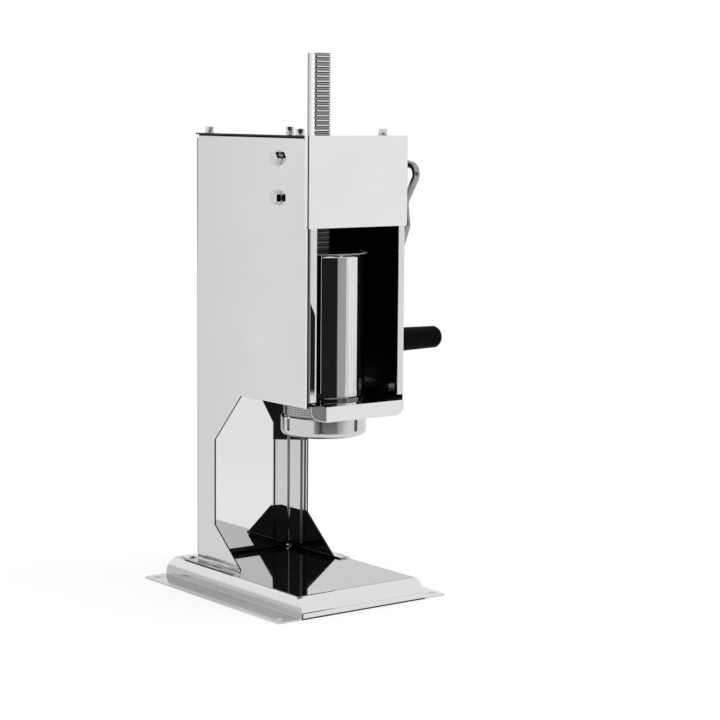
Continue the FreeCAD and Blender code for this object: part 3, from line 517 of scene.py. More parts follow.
@dataclass(frozen=True)
class BaseSteel(PolishedSteel):
    """Pressed base: polished deck, satin sides and flanges, dark lips, and painted light and shade: a shaded
    half of the deck, lit shoulders and sides, darker lower sides and flanges, a painted highlight along the
    foot of the sides, painted shade in the crease, at the skirt and in the screw holes.
    """

    half_width: float = 100.2 * MM
    sheet: float = 2.0 * MM
    hole_x: float = 112.0 * MM
    hole_y: float = 145.0 * MM
    hole_radius: float = 4.6 * MM
    band_low: float = 15.0 * MM
    crease_y: float = 143.4 * MM
    crease_half: float = 0.45 * MM
    skirt_top: float = 9.0 * MM
    skirt_line: float = 1.2 * MM
    corner: float = 2.5 * MM
    shaded_skirt: tuple[float, float] = (-30.0 * MM, -80.0 * MM)
    shaded_deck_side: tuple[float, float] = (-50.0 * MM, 0.0)
    brighter_flange: tuple[float, float] = (20.0 * MM, -120.0 * MM)

    def patches(self, graph: Graph) -> list[Patch]:
        """Returns the deck's half with painted shade, the shoulders, sides and flanges in painted light and
        shade, their lips and the holes with painted shade.
        """
        x, y, z = graph.split("Object")
        face_x, face_y, face_z = graph.split("Normal")
        side = abs(face_x).smooth(0.3, 0.6)
        low = z.smooth(self.band_low + 1.5 * MM, self.band_low - 1.5 * MM)
        front = abs(face_y).smooth(0.12, 0.3)
        crease = (abs(y) > self.crease_y - self.crease_half) * (abs(y) < self.crease_y + self.crease_half)
        flange = (abs(x) > self.half_width + 0.6 * MM) * (z < self.sheet + 0.3 * MM)
        seam = (abs(x) < self.half_width + 0.8 * MM) * (abs(x) > self.half_width - 0.2 * MM)
        lip = (face_y < -FACING) * (z < self.sheet) * (abs(x) < self.half_width)
        skirt = front * (z < self.skirt_top) * (z > self.skirt_top - self.skirt_line)
        corner = front * (z < self.skirt_top) * (x < self.corner - self.half_width)
        hole_x, hole_y = abs(x) - self.hole_x, abs(y) - self.hole_y
        hole = ((hole_x * hole_x + hole_y * hole_y) < self.hole_radius ** 2) * (abs(face_z) < FACING)
        streaks = graph.noise(60.0, 3.0, (1.6, 0.08, 1.6)).smooth(0.40, 0.62)
        return [
            # painted shade on the right half of the deck
            Patch((face_z > 0.9) * x.smooth(*self.shaded_deck_side), 0.425, self.roughness),
            # painted light on the front shoulders
            Patch(front, 0.73, 0.06),
            # painted shade on a band at the top of the front skirt, darkest on its left
            Patch(skirt, 0.64, 0.15),
            Patch(skirt * x.smooth(*self.shaded_skirt), 0.05, 0.2),
            # painted shade at the left end of the front skirt
            Patch(corner, 0.04, 0.2),
            # painted light on the sides, with painted shade and reflection streaks lower down
            Patch(side, 0.74, 0.05),
            Patch(side * low * (0.85 + streaks * 0.15), 0.46, 0.05),
            # painted shade on the flanges, lighter towards the front
            Patch(flange, 0.50, 0.07),
            Patch(flange * y.smooth(*self.brighter_flange), 0.62, 0.07),
            # painted highlight along the foot of the sides
            Patch(seam * (z < self.sheet + 1.2 * MM), 0.80, 0.2),
            # painted shade in the crease
            Patch(crease * (face_z > 0.7), 0.22, 0.2),
            Patch(lip, 0.04, 0.3),
            # painted shade in the screw holes
            Patch(hole, 0.02, 0.4),
        ]


@dataclass(frozen=True)
class TraySteel(PolishedSteel):
    """Tray with a painted dark reflection on the return on either side and painted highlights on their lips.
    """

    half_width: float = 62.0 * MM
    bottom: float = 248.5 * MM
    return_back: float = -124.6 * MM
    corner: float = 12.5 * MM
    lip: float = 0.9 * MM

    def patches(self, graph: Graph) -> list[Patch]:
        """Returns the outer faces of the returns with their painted dark reflection, and the painted
        highlights on their cut lips.
        """
        x, y, z = graph.split("Object")
        face_x, _, _ = graph.split("Normal")
        outer = abs(face_x).smooth(0.8, 0.95) * (abs(x) > self.half_width - 0.4 * MM)
        off_y, off_z = y - (self.return_back - self.corner), (self.bottom + self.corner) - z
        arc = (off_y * off_y + off_z * off_z) > (self.corner - self.lip) ** 2
        straight = (z < self.bottom + 0.8 * MM) + (y > self.return_back - self.lip)
        lip = (straight + arc * (off_y > 0.0) * (off_z > 0.0)) > 0.5
        return [
            # painted dark reflection on the returns' outer faces
            Patch(outer, 0.17, 0.09),
            # painted highlight on their lips
            Patch(outer * lip, 0.80, 0.12),
        ]


@dataclass(frozen=True)
class BarrelSteel(PolishedSteel):
    """Drawn barrel with fine rings and a dull threaded neck, a painted highlight on its rim, and painted
    shade on the rim's right part, the inside, the foot flange and the thread's roots.
    """

    centre_y: float = -68.0 * MM
    inner_radius: float = 51.0 * MM
    deck_top: float = 268.0 * MM
    rim_bottom: float = 452.6 * MM
    rim_top: float = 456.5 * MM
    rim_line: float = 1.2 * MM
    rim_edge: float = 0.9 * MM
    shaded_rim: tuple[float, float] = (-30.0 * MM, 5.0 * MM)
    flange_height: float = 4.0 * MM
    thread_pitch: float = 3.0 * MM

    def patches(self, graph: Graph) -> list[Patch]:
        """Returns the foot flange and neck, the rim and the inside, with their painted light and shade."""
        x, y, z = graph.split("Object")
        off = y - self.centre_y
        inside = (x * x + off * off) < (self.inner_radius + 0.4 * MM) ** 2
        winding = z * (FULL_TURN / self.thread_pitch) - graph.maths("ARCTAN2", off, x)
        neck = z < self.deck_top
        streaks = graph.noise(420.0, 3.0, (1.0, 1.0, 0.006)).smooth(0.50, 0.62)
        return [
            # painted shade on the foot flange
            Patch(z < self.deck_top + self.flange_height, 0.16, 0.12),
            Patch(neck, 0.34, 0.18),
            # painted shade in the thread's roots
            Patch(neck * winding.sine().smooth(-0.2, 0.7), 0.05, 0.3),
            Patch(streaks * 0.5, 0.45, 0.05),
            # painted highlight on the rim
            Patch(z > self.rim_bottom, 0.85, 0.06),
            # painted shade on the rim's right part
            Patch((z > self.rim_bottom + self.rim_line) * x.smooth(*self.shaded_rim), 0.03, 0.15),
            Patch(z > self.rim_top - self.rim_edge, 0.55, 0.4, 0.0),
            # painted shade inside the barrel
            Patch(inside * (z < self.rim_bottom + 3.0 * MM), 0.12, 0.12),
        ]


@dataclass(frozen=True)
class TurnedSteel:
    """Turned or ground steel with rings or lines along the tool's path and faint stains."""

    name: str
    level: float = 0.62
    roughness: float = 0.16
    grain: Grain = Grain.NONE
    lines: float = 1400.0
    stain: float = 0.12

    def patches(self, graph: Graph) -> list[Patch]:
        """Returns the regions with another finish and the regions of painted light and shade."""
        return []

    def material(self) -> Material:
        """Builds the material."""
        material, graph = new_material(self.name)
        cloud = graph.noise(40.0, 5.0)
        lines = graph.noise(self.lines, 2.0, self.grain.value)
        steel = grey(self.level)
        graph.surface(
            graph.blend(cloud.smooth(0.35, 0.7), steel, shade(steel, 1.0 - self.stain)),
            self.roughness + lines * 0.08 + cloud * 0.06,
            graph.bump(lines, 0.12, 0.2 * MM),
            self.patches(graph), Metallic=1.0)
        return material


@dataclass(frozen=True)
class RackSteel(TurnedSteel):
    """Ground rack with bright tooth tips, painted light and shade between the teeth, painted reflections on
    its sides and painted shade on its lower length.
    """

    tip_y: float = -63.5 * MM
    tooth_depth: float = 3.6 * MM
    bright_tip: float = 0.25 * MM
    flank: float = 0.3
    depth: float = 19.5 * MM
    back_band: float = 4.5 * MM
    shade_from: float = 505.0 * MM
    shade_reach: float = 15.0 * MM

    def patches(self, graph: Graph) -> list[Patch]:
        """Returns the sides with painted reflections, the tooth spaces with painted light on the root and one
        flank and painted shade on the other, and the painted shade on the lower length.
        """
        _, y, z = graph.split("Object")
        face_x, _, face_z = graph.split("Normal")
        back = self.tip_y + self.depth
        level, flat = abs(face_x) < FACING, abs(face_x) > FACING
        space = level * (y < self.tip_y + self.tooth_depth + 0.2 * MM) * (y > self.tip_y + self.bright_tip)
        shaded_low = level * z.smooth(self.shade_from, self.shade_from - self.shade_reach)
        return [
            # painted reflection: sides bright by the teeth, darker towards the back
            Patch(flat, 0.97, 0.10),
            Patch(flat * y.smooth(self.tip_y + self.depth * 0.2, back), 0.40, 0.15),
            Patch(flat * (y > back - self.back_band), 0.32, 0.2),
            # painted light in the tooth spaces, painted shade on their down flanks
            Patch(space, 0.48, 0.5, 0.0),
            Patch(space * (face_z < -self.flank), 0.003, 0.45),
            Patch(space * (face_z > self.flank), 0.06, 0.5, 0.0),
            # painted shade on the lower length, inside the head
            Patch(shaded_low * 0.7, 0.02, 0.4, 0.2),
        ]


@dataclass(frozen=True)
class HeadedSteel(TurnedSteel):
    """Plated bolt steel with a painted dark reflection on one flank of each head."""

    middle_z: float = 553.0 * MM
    washer_x: float = 78.3 * MM
    centre_x: float = 79.6 * MM
    upper_z: float = 582.0 * MM
    flank: float = 0.93
    middle_radii: tuple[float, float] = (2.4 * MM, 1.2 * MM)

    def patches(self, graph: Graph) -> list[Patch]:
        """Returns the flanks of the upper and the lower head with their painted dark reflection, and its
        lighter middle.
        """
        x, _, z = graph.split("Object")
        face_x, face_y, face_z = graph.split("Normal")
        upper = z > self.middle_z
        head = abs(x) > self.washer_x
        slanting = ((face_y * -0.866 + face_z * 0.5) > self.flank) * upper
        level = (face_y < -self.flank) * (1.0 - upper)
        along, up = abs(x) - self.centre_x, z - self.upper_z
        wide, narrow = self.middle_radii
        lighter_middle = (along * along + up * up).smooth(wide ** 2, narrow ** 2) * upper
        return [
            Patch(abs(face_x) > 0.8, 0.60, 0.12),
            # painted dark reflection on one flank of each head, with a lighter middle
            Patch(head * (slanting + level), 0.008, 0.3),
            Patch(head * slanting * lighter_middle, 0.34, 0.2),
        ]


@dataclass(frozen=True)
class CastAluminium:
    """Turned and polished casting with fine pores and turning rings."""

    name: str
    level: float = 0.62
    roughness: float = 0.12
    centre_y: float = -68.0 * MM
    groove_radius: float = 55.6 * MM
    groove_depth: float = 2.2 * MM
    groove_edge: float = 0.28 * MM
    groove_low: float = 225.5 * MM
    groove_high: float = 241.5 * MM

    def grooves(self, graph: Graph) -> list[Patch]:
        """Returns the grip grooves, duller with painted shade in their hollows, and a painted highlight on
        their edges.
        """
        x, y, z = graph.split("Object")
        off = y - self.centre_y
        around = x * x + off * off
        outside = around > self.groove_radius ** 2
        hollow = (around < self.groove_radius ** 2) * (around > (self.groove_radius - self.groove_depth) ** 2)
        level = (z > self.groove_low) * (z < self.groove_high)
        edge = outside * (around < (self.groove_radius + self.groove_edge) ** 2)
        # painted shade in the groove hollows, painted highlight on their edges
        return [Patch(hollow * level, 0.12, 0.2), Patch(edge * level, 0.92, 0.2)]

    def material(self) -> Material:
        """Builds the material."""
        material, graph = new_material(self.name)
        pores = graph.noise(650.0, 4.0)
        rings = graph.noise(1500.0, 1.0, (0.03, 0.03, 1.0))
        cloud = graph.noise(35.0, 3.0)
        metal = grey(self.level)
        graph.surface(
            graph.blend(cloud.smooth(0.3, 0.7), metal, shade(metal, 0.92)),
            self.roughness + pores * 0.05 + rings * 0.05,
            graph.bump(pores * 0.6 + rings * 0.4, 0.04, 0.2 * MM), self.grooves(graph), Metallic=1.0)
        return material


@dataclass(frozen=True)
class MouldedPlastic:
    """Satin moulded plastic with a fine eroded texture and rubbed places."""

    name: str
    level: float = 0.0026
    roughness: float = 0.42

    def material(self) -> Material:
        """Builds the material."""
        material, graph = new_material(self.name)
        skin = graph.noise(1800.0, 3.0)
        cloud = graph.noise(60.0, 3.0)
        rub = graph.noise(160.0, 4.0, Grain.ACROSS.value).smooth(0.6, 0.75)
        black = grey(self.level)
        graph.surface(
            graph.blend(cloud.smooth(0.3, 0.75), black, shade(black, 1.6)),
            self.roughness + skin * 0.12 - rub * 0.08,
            graph.bump(skin + rub * 0.3, 0.2, 0.25 * MM), Specular_IOR_Level=0.015)
        return material


@dataclass(frozen=True)
class Silicone:
    """Pale silicone rubber with a matt skin."""

    name: str
    colour: Colour = (0.62, 0.61, 0.57)

    def material(self) -> Material:
        """Builds the material."""
        material, graph = new_material(self.name)
        skin = graph.noise(900.0, 3.0)
        graph.surface(
            graph.blend(skin, self.colour, shade(self.colour, 0.9)),
            0.5 + skin * 0.15,
            graph.bump(skin, 0.1, 0.2 * MM))
        return material


@dataclass(frozen=True)
class RodSteel(PolishedSteel):
    """Bright drawn rod, with a painted dark reflection along the inside of its first bend."""

    bend_y: float = -122.7 * MM
    bend_z: float = 557.3 * MM
    dark_reflection_low: tuple[float, float] = (540.0 * MM, 548.0 * MM)
    widening: tuple[float, float] = (-14.0 * MM, 6.0 * MM)
    wider_by: float = 4.5 * MM
    dark_reflection_edge: tuple[float, float] = (-4.5 * MM, -2.0 * MM)

    def patches(self, graph: Graph) -> list[Patch]:
        """Returns the duller front of the rod and the painted dark reflection on the inside of the bend."""
        _, y, z = graph.split("Object")
        face_x, face_y, face_z = graph.split("Normal")
        inward = face_y * (self.bend_y - y) + face_z * (self.bend_z - z)
        reach = inward + (z - self.bend_z).smooth(*self.widening) * self.wider_by
        # painted dark reflection along the inside of the bend
        scale = reach.smooth(*self.dark_reflection_edge) * z.smooth(*self.dark_reflection_low) * face_x.smooth(0.2, 0.0)
        return [
            Patch(face_y.smooth(0.5, -0.5) * 0.6, 0.24, 0.32),
            Patch(scale, 0.008, 0.3),
        ]


def dress_nodes() -> dict[str, Material]:
    """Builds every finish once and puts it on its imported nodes.

    Returns:
        The material of each node, by the node's name.
    """
    table = (
        (HeadSideSteel("head_side_steel", 0.66), "left_side_plate right_side_plate"),
        (BackSteel("head_back_steel", 0.68), "back_plate"),
        (CoverSteel("cover_steel", 0.76, grain=Grain.ACROSS), "front_cover"),
        (TopSteel("top_steel", 0.74, grain=Grain.DEEP), "top_plate"),
        (BaseSteel("base_steel", 0.47, grain=Grain.DEEP, wave=0.03), "base_plate"),
        (TraySteel("tray_steel", 0.74, grain=Grain.ACROSS), "barrel_tray"),
        (BarrelSteel("barrel_steel", 0.74, roughness=0.03, wave=0.02), "barrel"),
        (TurnedSteel("plate_steel", 0.03, roughness=0.4, grain=Grain.UP),
         "left_bearing_plate right_bearing_plate rack_guide"),
        (TurnedSteel("rail_steel", 0.16, roughness=0.2, grain=Grain.DEEP), "left_tray_rail right_tray_rail"),
        (TurnedSteel("fastener_steel", 0.64, roughness=0.1, lines=2600.0),
         "top_screws foot_bolts rail_screws hub_screw grip_collar piston_screw"),
        (HeadedSteel("headed_steel", 0.70, roughness=0.08, lines=2600.0),
         "crank_shaft_bolt gear_shaft_bolts"),
        (TurnedSteel("shaft_steel", 0.58, roughness=0.14, grain=Grain.ACROSS), "crank_shaft gear_shaft"),
        (TurnedSteel("gear_steel", 0.40, roughness=0.24, stain=0.3), "crank_pinion reduction_gear"),
        (RackSteel("rack_steel", 0.70, roughness=0.12, grain=Grain.UP), "rack"),
        (RodSteel("crank_steel", 0.42, roughness=0.10), "crank_arm"),
        (TurnedSteel("piston_steel", 0.30, roughness=0.2), "piston"),
        (TurnedSteel("die_steel", 0.62, roughness=0.18), "die_plate"),
        (CastAluminium("ring_aluminium"), "ring_nut"),
        (MouldedPlastic("grip_plastic"), "grip"),
        (Silicone("seal_silicone"), "piston_seal"),
    )
    materials = {}
    for look, names in table:
        material = look.material()
        for name in names.split():
            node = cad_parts[name]
            node.data.materials.clear()
            node.data.materials.append(material)
            materials[name] = material
            log.info("dressed %s with %s", name, material.name)
    return materials


def finish(mesh: Mesh, name: str, body: str, material: Material,
           sharp: float = 35.0) -> bpy.types.Object:
    """Turns a bmesh into a piece that rides on a body.

    Args:
        mesh: the shaped mesh, in metres; it is freed.
        name: the piece's name.
        body: the body that it rides on.
        material: its finish.
        sharp: angle in degrees past which an edge stays sharp.

    Returns:
        The piece.
    """
    bmesh.ops.remove_doubles(mesh, verts=mesh.verts, dist=MERGE)
    bmesh.ops.recalc_face_normals(mesh, faces=mesh.faces)
    for face in mesh.faces:
        face.smooth = True
    for edge in mesh.edges:
        edge.smooth = len(edge.link_faces) == 2 and edge.calc_face_angle(0.0) < math.radians(sharp)
    data = bpy.data.meshes.new(name)
    mesh.to_mesh(data)
    mesh.free()
    data.materials.append(material)
    piece = bpy.data.objects.new(name, data)
    bpy.context.scene.collection.objects.link(piece)
    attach(piece, body)
    log.info("made %s with %d faces", name, len(data.polygons))
    return piece


def lay(mesh: Mesh, verts: Verts, axis: Axis, place: Vector, turn: float = 0.0) -> None:
    """Turns a shape built up Z onto its axis and moves it into place.

    Args:
        mesh: the mesh that holds it.
        verts: its vertices.
        axis: the axis that it points along, outwards to -X for the X axis.
        place: where its origin goes.
        turn: turn about its own axis, in radians.
    """
    bmesh.ops.rotate(mesh, cent=(0, 0, 0), matrix=Matrix.Rotation(turn, 3, "Z"), verts=verts)
    if axis is Axis.X:
        bmesh.ops.rotate(mesh, cent=(0, 0, 0), matrix=Matrix.Rotation(-math.pi / 2, 3, "Y"), verts=verts)
    bmesh.ops.translate(mesh, vec=place, verts=verts)


def disc(mesh: Mesh, radius: float, low: float, high: float, rounding: float,
         segments: int = 48) -> Verts:
    """Adds a round disc with bevelled rims, standing on Z.

    Args:
        mesh: the mesh that gets it.
        radius: its radius.
        low: its lower face.
        high: its upper face.
        rounding: width of the bevel.
        segments: sides of the circle.

    Returns:
        Its vertices.
    """
    before = set(mesh.verts)
    made = bmesh.ops.create_cone(mesh, cap_ends=True, segments=segments, radius1=radius, radius2=radius,
                                 depth=high - low)
    bmesh.ops.translate(mesh, vec=(0.0, 0.0, (low + high) / 2), verts=made["verts"])
    rims = [edge for edge in mesh.edges if edge.verts[0] not in before
            and abs(edge.verts[0].co.z - edge.verts[1].co.z) < rounding / 4]
    bmesh.ops.bevel(mesh, geom=rims, offset=rounding, affect="EDGES", segments=2, profile=0.5, material=-1)
    return [vert for vert in mesh.verts if vert not in before]


def hex_head(mesh: Mesh, radius: float, low: float, high: float, chamfer: float, cuts: int = 30) -> Verts:
    """Adds a hexagon head with the round 30-degree chamfer of a real bolt head.

    Args:
        mesh: the mesh that gets it.
        radius: radius across the corners.
        low: the seat.
        high: the top.
        chamfer: how far the chamfer's circle lies inside the corners.
        cuts: planes that make up the chamfer.

    Returns:
        Its vertices.
    """
    head = bmesh.new()
    made = bmesh.ops.create_cone(head, cap_ends=True, segments=6, radius1=radius, radius2=radius,
                                 depth=high - low)
    bmesh.ops.translate(head, vec=(0.0, 0.0, (low + high) / 2), verts=made["verts"])
    for cut in range(cuts):
        angle = FULL_TURN * (cut + 0.5) / cuts
        outward = Vector((math.cos(angle), math.sin(angle), 0.0))
        normal = (outward + Vector((0.0, 0.0, math.sqrt(3.0)))).normalized()
        bmesh.ops.bisect_plane(head, geom=head.verts[:] + head.edges[:] + head.faces[:], dist=ON_PLANE,
                               plane_co=outward * (radius - chamfer) + Vector((0.0, 0.0, high)),
                               plane_no=normal, clear_outer=True)
        open_edges = [edge for edge in head.edges if edge.is_boundary]
        bmesh.ops.holes_fill(head, edges=open_edges, sides=0)
    before = set(mesh.verts)
    kept = bpy.data.meshes.new("head_stock")
    head.to_mesh(kept)
    head.free()
    mesh.from_mesh(kept)
    bpy.data.meshes.remove(kept)
    return [vert for vert in mesh.verts if vert not in before]


def spring_washer(mesh: Mesh, inner: float, outer: float, low: float, height: float,
                  wire_share: float = 0.84, turns: float = 0.965, steps: int = 40) -> Verts:
    """Adds a split spring washer as a short helix of square wire.

    Args:
        mesh: the mesh that gets it.
        inner: inner radius.
        outer: outer radius.
        low: its lower face.
        height: its height with the split.
        wire_share: the wire's height, as a share of the height with the split.
        turns: turns of the helix, a little less than one.
        steps: segments of the helix.

    Returns:
        Its vertices.
    """
    before = set(mesh.verts)
    wire = height * wire_share
    made = bmesh.ops.create_grid(mesh, x_segments=1, y_segments=1, size=0.5)
    bmesh.ops.scale(mesh, vec=(outer - inner, wire, 1.0), verts=made["verts"])
    bmesh.ops.rotate(mesh, cent=(0, 0, 0), matrix=Matrix.Rotation(math.pi / 2, 3, "X"), verts=made["verts"])
    bmesh.ops.translate(mesh, vec=((inner + outer) / 2, 0.0, low + wire / 2), verts=made["verts"])
    section = [item for vert in made["verts"] for item in (vert, *vert.link_edges, *vert.link_faces)]
    # The spin carries the section along, and its copy stays as the first end face.
    bmesh.ops.duplicate(mesh, geom=list(dict.fromkeys(section)))
    bmesh.ops.spin(mesh, geom=list(dict.fromkeys(section)), cent=(0, 0, 0), axis=(0, 0, 1),
                   dvec=(0.0, 0.0, (height - wire) / steps), angle=FULL_TURN * turns, steps=steps,
                   use_merge=False)
    return [vert for vert in mesh.verts if vert not in before]


@dataclass
class BoltSet:
    """Hexagon bolts of one size with a flat washer and a split spring washer."""

    name: str
    node: str
    body: str
    axis: Axis
    seats: Sequence[tuple[float, float, float]]
    head_radius: float
    head_height: float
    washer_radius: float
    washer_height: float
    spring_radius: float
    spring_height: float
    shank_radius: float
    shank_length: float
    turn_step: float = 0.0
    first_turn: float = 0.0
    chamfer_share: float = 0.10
    washer_rounding: float = 0.2 * MM
    shank_rounding: float = 0.4 * MM
    shank_sides: int = 24
    sharp: float = 25.0

    def build(self, material: Material) -> None:
        """Shapes every bolt of the set in one finish, as one piece that stands for the node."""
        mesh = bmesh.new()
        for count, seat in enumerate(self.seats):
            verts = disc(mesh, self.washer_radius, 0.0, self.washer_height, self.washer_rounding)
            spring_top = self.washer_height + self.spring_height
            if self.spring_height:
                verts += spring_washer(mesh, self.shank_radius, self.spring_radius, self.washer_height,
                                       self.spring_height)
            verts += hex_head(mesh, self.head_radius, spring_top, spring_top + self.head_height,
                              self.head_radius * self.chamfer_share)
            verts += disc(mesh, self.shank_radius, -self.shank_length, spring_top + self.head_height / 2,
                          self.shank_rounding, self.shank_sides)
            place = Vector(seat) * MM
            lay(mesh, verts, self.axis, place, math.radians(self.first_turn + self.turn_step * count))
            if self.axis is Axis.X and place.x > 0.0:
                bmesh.ops.rotate(mesh, cent=place, matrix=Matrix.Rotation(math.pi, 3, "Z"), verts=verts)
        piece = finish(mesh, self.name, self.body, material, self.sharp)
        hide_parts(self.node)


@dataclass
class NeckThread:
    """Thread ridge of the outlet neck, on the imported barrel."""

    centre: Vector = field(default_factory=lambda: Vector((0.0, -68.0, 0.0)) * MM)
    neck_radius: float = 52.5 * MM
    crest: float = 0.27 * MM
    crest_width: float = 2.6
    pitch: float = 3.0 * MM
    low: float = 229.0 * MM
    high: float = 264.5 * MM
    steps_per_turn: int = 96

    def build(self, material: Material) -> None:
        """Winds the ridge up the neck in one finish."""
        mesh = bmesh.new()
        ridge = bmesh.ops.create_circle(mesh, cap_ends=True, segments=3, radius=self.crest)["verts"]
        bmesh.ops.scale(mesh, vec=(1.0, self.crest_width, 1.0), verts=ridge)
        bmesh.ops.rotate(mesh, cent=(0, 0, 0), matrix=Matrix.Rotation(math.pi / 2, 3, "X"), verts=ridge)
        reach = max(vert.co.x for vert in ridge)
        place = Vector((self.neck_radius + self.crest - reach, self.centre.y, self.low))
        bmesh.ops.translate(mesh, vec=place, verts=ridge)
        turns = (self.high - self.low) / self.pitch
        bmesh.ops.spin(mesh, geom=mesh.verts[:] + mesh.edges[:] + mesh.faces[:], cent=self.centre,
                       axis=(0, 0, 1), dvec=(0.0, 0.0, self.pitch / self.steps_per_turn),
                       angle=FULL_TURN * turns, steps=int(turns * self.steps_per_turn), use_merge=False)
        finish(mesh, "neck_thread", "frame", material, 20.0)


@dataclass
class DomeSet:
    """Low round domes of one size that stand in the sheet, such as weld marks, alike on both sides."""

    name: str
    x: float
    ys: Sequence[float]
    z: float
    radius: float
    height: float

    def build(self, material: Material) -> None:
        """Shapes every dome of the set in one finish, as one piece."""
        mesh = bmesh.new()
        for side in (-1.0, 1.0):
            for y in self.ys:
                dome = bmesh.ops.create_uvsphere(mesh, u_segments=24, v_segments=12, radius=self.radius)
                bmesh.ops.scale(mesh, vec=(1.0, 1.0, self.height / self.radius), verts=dome["verts"])
                bmesh.ops.translate(mesh, vec=(side * self.x, y * MM, self.z), verts=dome["verts"])
        finish(mesh, self.name, "frame", material)


class Lamp(NamedTuple):
    """A soft area lamp."""

    name: str
    place: tuple[float, float, float]
    size: float
    power: float


@dataclass
class Studio:
    """Pale table, soft lamps, plain surround and the camera."""

    camera_place: Vector = field(default_factory=lambda: Vector((-1607.4, -2240.8, 644.7)) * MM)
    camera_azimuth: float = math.radians(-37.4897)
    camera_drop: float = math.radians(6.9528)
    camera_roll: float = math.radians(0.4761)
    camera_lens: float = 104.26
    camera_sensor: float = 36.0
    camera_reach: float = 50.0
    floor_front: float = 0.976
    floor_back: float = 7.0
    floor_colour: Colour = (0.94, 0.94, 0.94)
    floor_near: float = 0.35
    floor_far: float = 0.9
    floor_glow: float = 0.62
    room_level: float = 0.86
    dark_from: float = -24.0
    dark_to: float = 39.0
    grey_to: float = 66.0
    dark_level: float = 0.015
    grey_level: float = 0.42
    soft: float = 2.0
    screen_low: float = math.sin(math.radians(-11.0))
    screen_high: float = math.sin(math.radians(16.0))
    screen_soft: float = 0.01
    lamps: Sequence[Lamp] = (
        Lamp("overhead", (0.3, -0.4, 2.6), 2.2, 24.0),
        Lamp("front_right", (2.2, -2.2, 1.8), 1.6, 18.0),
    )
    lamp_aim: Vector = field(default_factory=lambda: Vector((0.0, 0.0, 0.3)))

    def camera(self) -> None:
        """Sets the camera at the viewing angle."""
        data = bpy.data.cameras.new("camera")
        data.lens = self.camera_lens
        data.sensor_width = self.camera_sensor
        data.clip_end = self.camera_reach
        side, drop = -self.camera_azimuth, self.camera_drop
        ahead = Vector((math.sin(side) * math.cos(drop), math.cos(side) * math.cos(drop), -math.sin(drop)))
        right = Vector((math.cos(side), -math.sin(side), 0.0))
        up = right.cross(ahead)
        roll = self.camera_roll
        turned_right = right * math.cos(roll) + up * math.sin(roll)
        turned_up = up * math.cos(roll) - right * math.sin(roll)
        camera = bpy.data.objects.new("camera", data)
        facing = Matrix((turned_right, turned_up, -ahead)).transposed().to_4x4()
        camera.matrix_world = Matrix.Translation(self.camera_place) @ facing
        bpy.context.scene.collection.objects.link(camera)
        bpy.context.scene.camera = camera

    def floor(self) -> None:
        """Makes the pale table top, which ends a little in front of the object."""
        mesh = bmesh.new()
        bmesh.ops.create_grid(mesh, x_segments=1, y_segments=1, size=0.5)
        depth = self.floor_front + self.floor_back
        bmesh.ops.scale(mesh, vec=(2 * self.floor_back, depth, 1.0), verts=mesh.verts)
        bmesh.ops.translate(mesh, vec=(0.0, depth / 2 - self.floor_front, 0.0), verts=mesh.verts)
        bmesh.ops.rotate(mesh, cent=(0, 0, 0), matrix=Matrix.Rotation(self.camera_azimuth, 3, "Z"),
                         verts=mesh.verts)
        data = bpy.data.meshes.new("floor")
        mesh.to_mesh(data)
        mesh.free()
        data.materials.append(self.floor_finish())
        floor = bpy.data.objects.new("floor", data)
        bpy.context.scene.collection.objects.link(floor)

    def floor_finish(self) -> Material:
        """Returns a matt white for the light, which the camera and the mirrors see glow."""
        material, graph = new_material("floor_white")
        matt = graph.node("ShaderNodeBsdfDiffuse", {}, {"Color": self.floor_colour})
        glow = graph.node("ShaderNodeEmission", {}, {"Color": (1.0, 1.0, 1.0), "Strength": 1.0})
        seen = graph.ray("Camera") + graph.ray("Glossy") + graph.ray("Transmission")
        x, y, _ = graph.split("Object")
        away = (x * x + y * y).root().smooth(self.floor_near, self.floor_far)
        share = (seen > 0.5) * (self.floor_glow + away * (1.0 - self.floor_glow))
        both = graph.node("ShaderNodeMixShader", {}, {0: share, 1: matt.outputs[0], 2: glow.outputs[0]})
        graph.node("ShaderNodeOutputMaterial", {}, {"Surface": both.outputs[0]})
        return material

    def room(self) -> None:
        """Sets the surround: plain light, white to the camera, with a dark screen in mirrors."""
        world = bpy.data.worlds.new("room")
        bpy.context.scene.world = world
        world.use_nodes = True
        graph = Graph(world.node_tree)
        x, y, z = graph.split("Generated")
        side = -self.camera_azimuth
        toward = x * -math.sin(side) + y * -math.cos(side)
        rightward = x * math.cos(side) + y * -math.sin(side)
        turn = graph.maths("ARCTAN2", rightward, toward) * math.degrees(1.0)
        past_dark = turn.smooth(self.dark_to - self.soft, self.dark_to + self.soft)
        past_grey = turn.smooth(self.grey_to - self.soft, self.grey_to + self.soft)
        before = turn.smooth(self.dark_from + self.soft, self.dark_from - self.soft)
        right_side = self.dark_level + past_dark * (self.grey_level - self.dark_level)
        right_side = right_side + past_grey * (1.0 - self.grey_level)
        panorama = before + (1.0 - before) * right_side
        screen = z.smooth(self.screen_low - self.screen_soft, self.screen_low + self.screen_soft)
        screen = screen * z.smooth(self.screen_high + self.screen_soft, self.screen_high - self.screen_soft)
        panorama = 1.0 - screen * (1.0 - panorama)
        seen, mirrored = graph.ray("Camera"), graph.ray("Glossy") + graph.ray("Transmission")
        level = seen + mirrored * panorama + (1.0 - seen) * (1.0 - mirrored) * self.room_level
        glow = graph.node("ShaderNodeBackground", {}, {"Color": (1.0, 1.0, 1.0), "Strength": level})
        graph.node("ShaderNodeOutputWorld", {}, {"Surface": glow.outputs[0]})

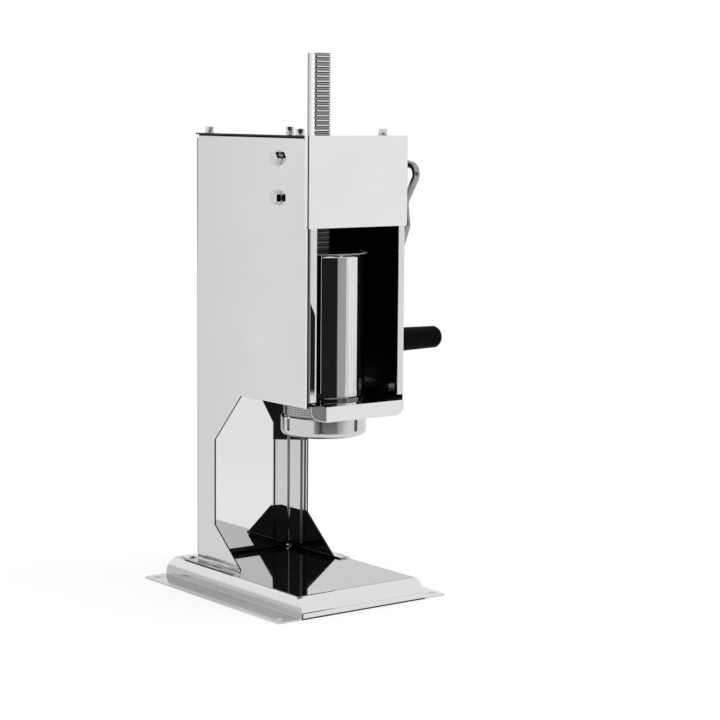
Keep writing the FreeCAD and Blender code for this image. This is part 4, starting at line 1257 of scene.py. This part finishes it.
    def light(self) -> None:
        """Adds the lamps, aimed at the object and unseen in mirrors."""
        for name, place, size, power in self.lamps:
            data = bpy.data.lights.new(name, "AREA")
            data.size = size
            data.energy = power
            lamp = bpy.data.objects.new(name, data)
            lamp.visible_glossy = False
            lamp.location = place
            lamp.rotation_euler = (self.lamp_aim - Vector(place)).to_track_quat("-Z", "Y").to_euler()
            bpy.context.scene.collection.objects.link(lamp)

    def build(self) -> None:
        """Builds the whole studio."""
        self.camera()
        self.floor()
        self.room()
        self.light()
        bpy.context.scene.view_settings.view_transform = "Standard"
        log.info("studio is set")


def bolt_sets() -> list[BoltSet]:
    """Returns the hexagon bolts of the head, with the sizes of the solids that they stand for."""
    end = dict(axis=Axis.X, head_radius=9.2 * MM, head_height=5.6 * MM, washer_radius=10.2 * MM,
               washer_height=1.0 * MM, spring_radius=0.0, spring_height=0.0, shank_radius=3.9 * MM,
               shank_length=11.9 * MM)
    return [
        BoltSet("crank_end_bolt", "crank_shaft_bolt", "crank", seats=[(-78.4, -72.0, 578.0)], **end),
        BoltSet("lower_end_bolts", "gear_shaft_bolts", "gear_shaft",
                seats=[(-78.4, -72.0, 528.0), (78.4, -72.0, 528.0)], first_turn=30.0, **end),
        BoltSet("lid_bolts", "top_screws", "frame", Axis.Z,
                [(side * 66.0, y, 607.2) for side in (-1.0, 1.0) for y in (-103.5, 102.8)],
                5.8 * MM, 5.0 * MM, 6.2 * MM, 1.5 * MM, 5.5 * MM, 1.7 * MM, 2.9 * MM, 9.0 * MM, 17.0),
    ]


def weld_sets() -> list[DomeSet]:
    """Returns the spot welds of the foot flanges and the weld in either rear corner of the foot."""
    return [
        DomeSet("foot_spot_welds", 88.0 * MM, (34.0, 66.0, 98.0), 29.1 * MM, 2.6 * MM, 0.25 * MM),
        DomeSet("corner_welds", 71.0 * MM, (111.0,), 29.5 * MM, 3.2 * MM, 3.2 * MM * 0.8),
    ]


def main() -> None:
    """Builds and dresses every sub-assembly in order."""
    logging.basicConfig(level=logging.INFO, format="%(message)s")
    Studio().build()
    materials = dress_nodes()
    for bolts in bolt_sets():
        bolts.build(materials[bolts.node])
    NeckThread().build(materials["piston"])
    for welds in weld_sets():
        welds.build(materials["top_screws"])


if __name__ == "__main__":
    main()
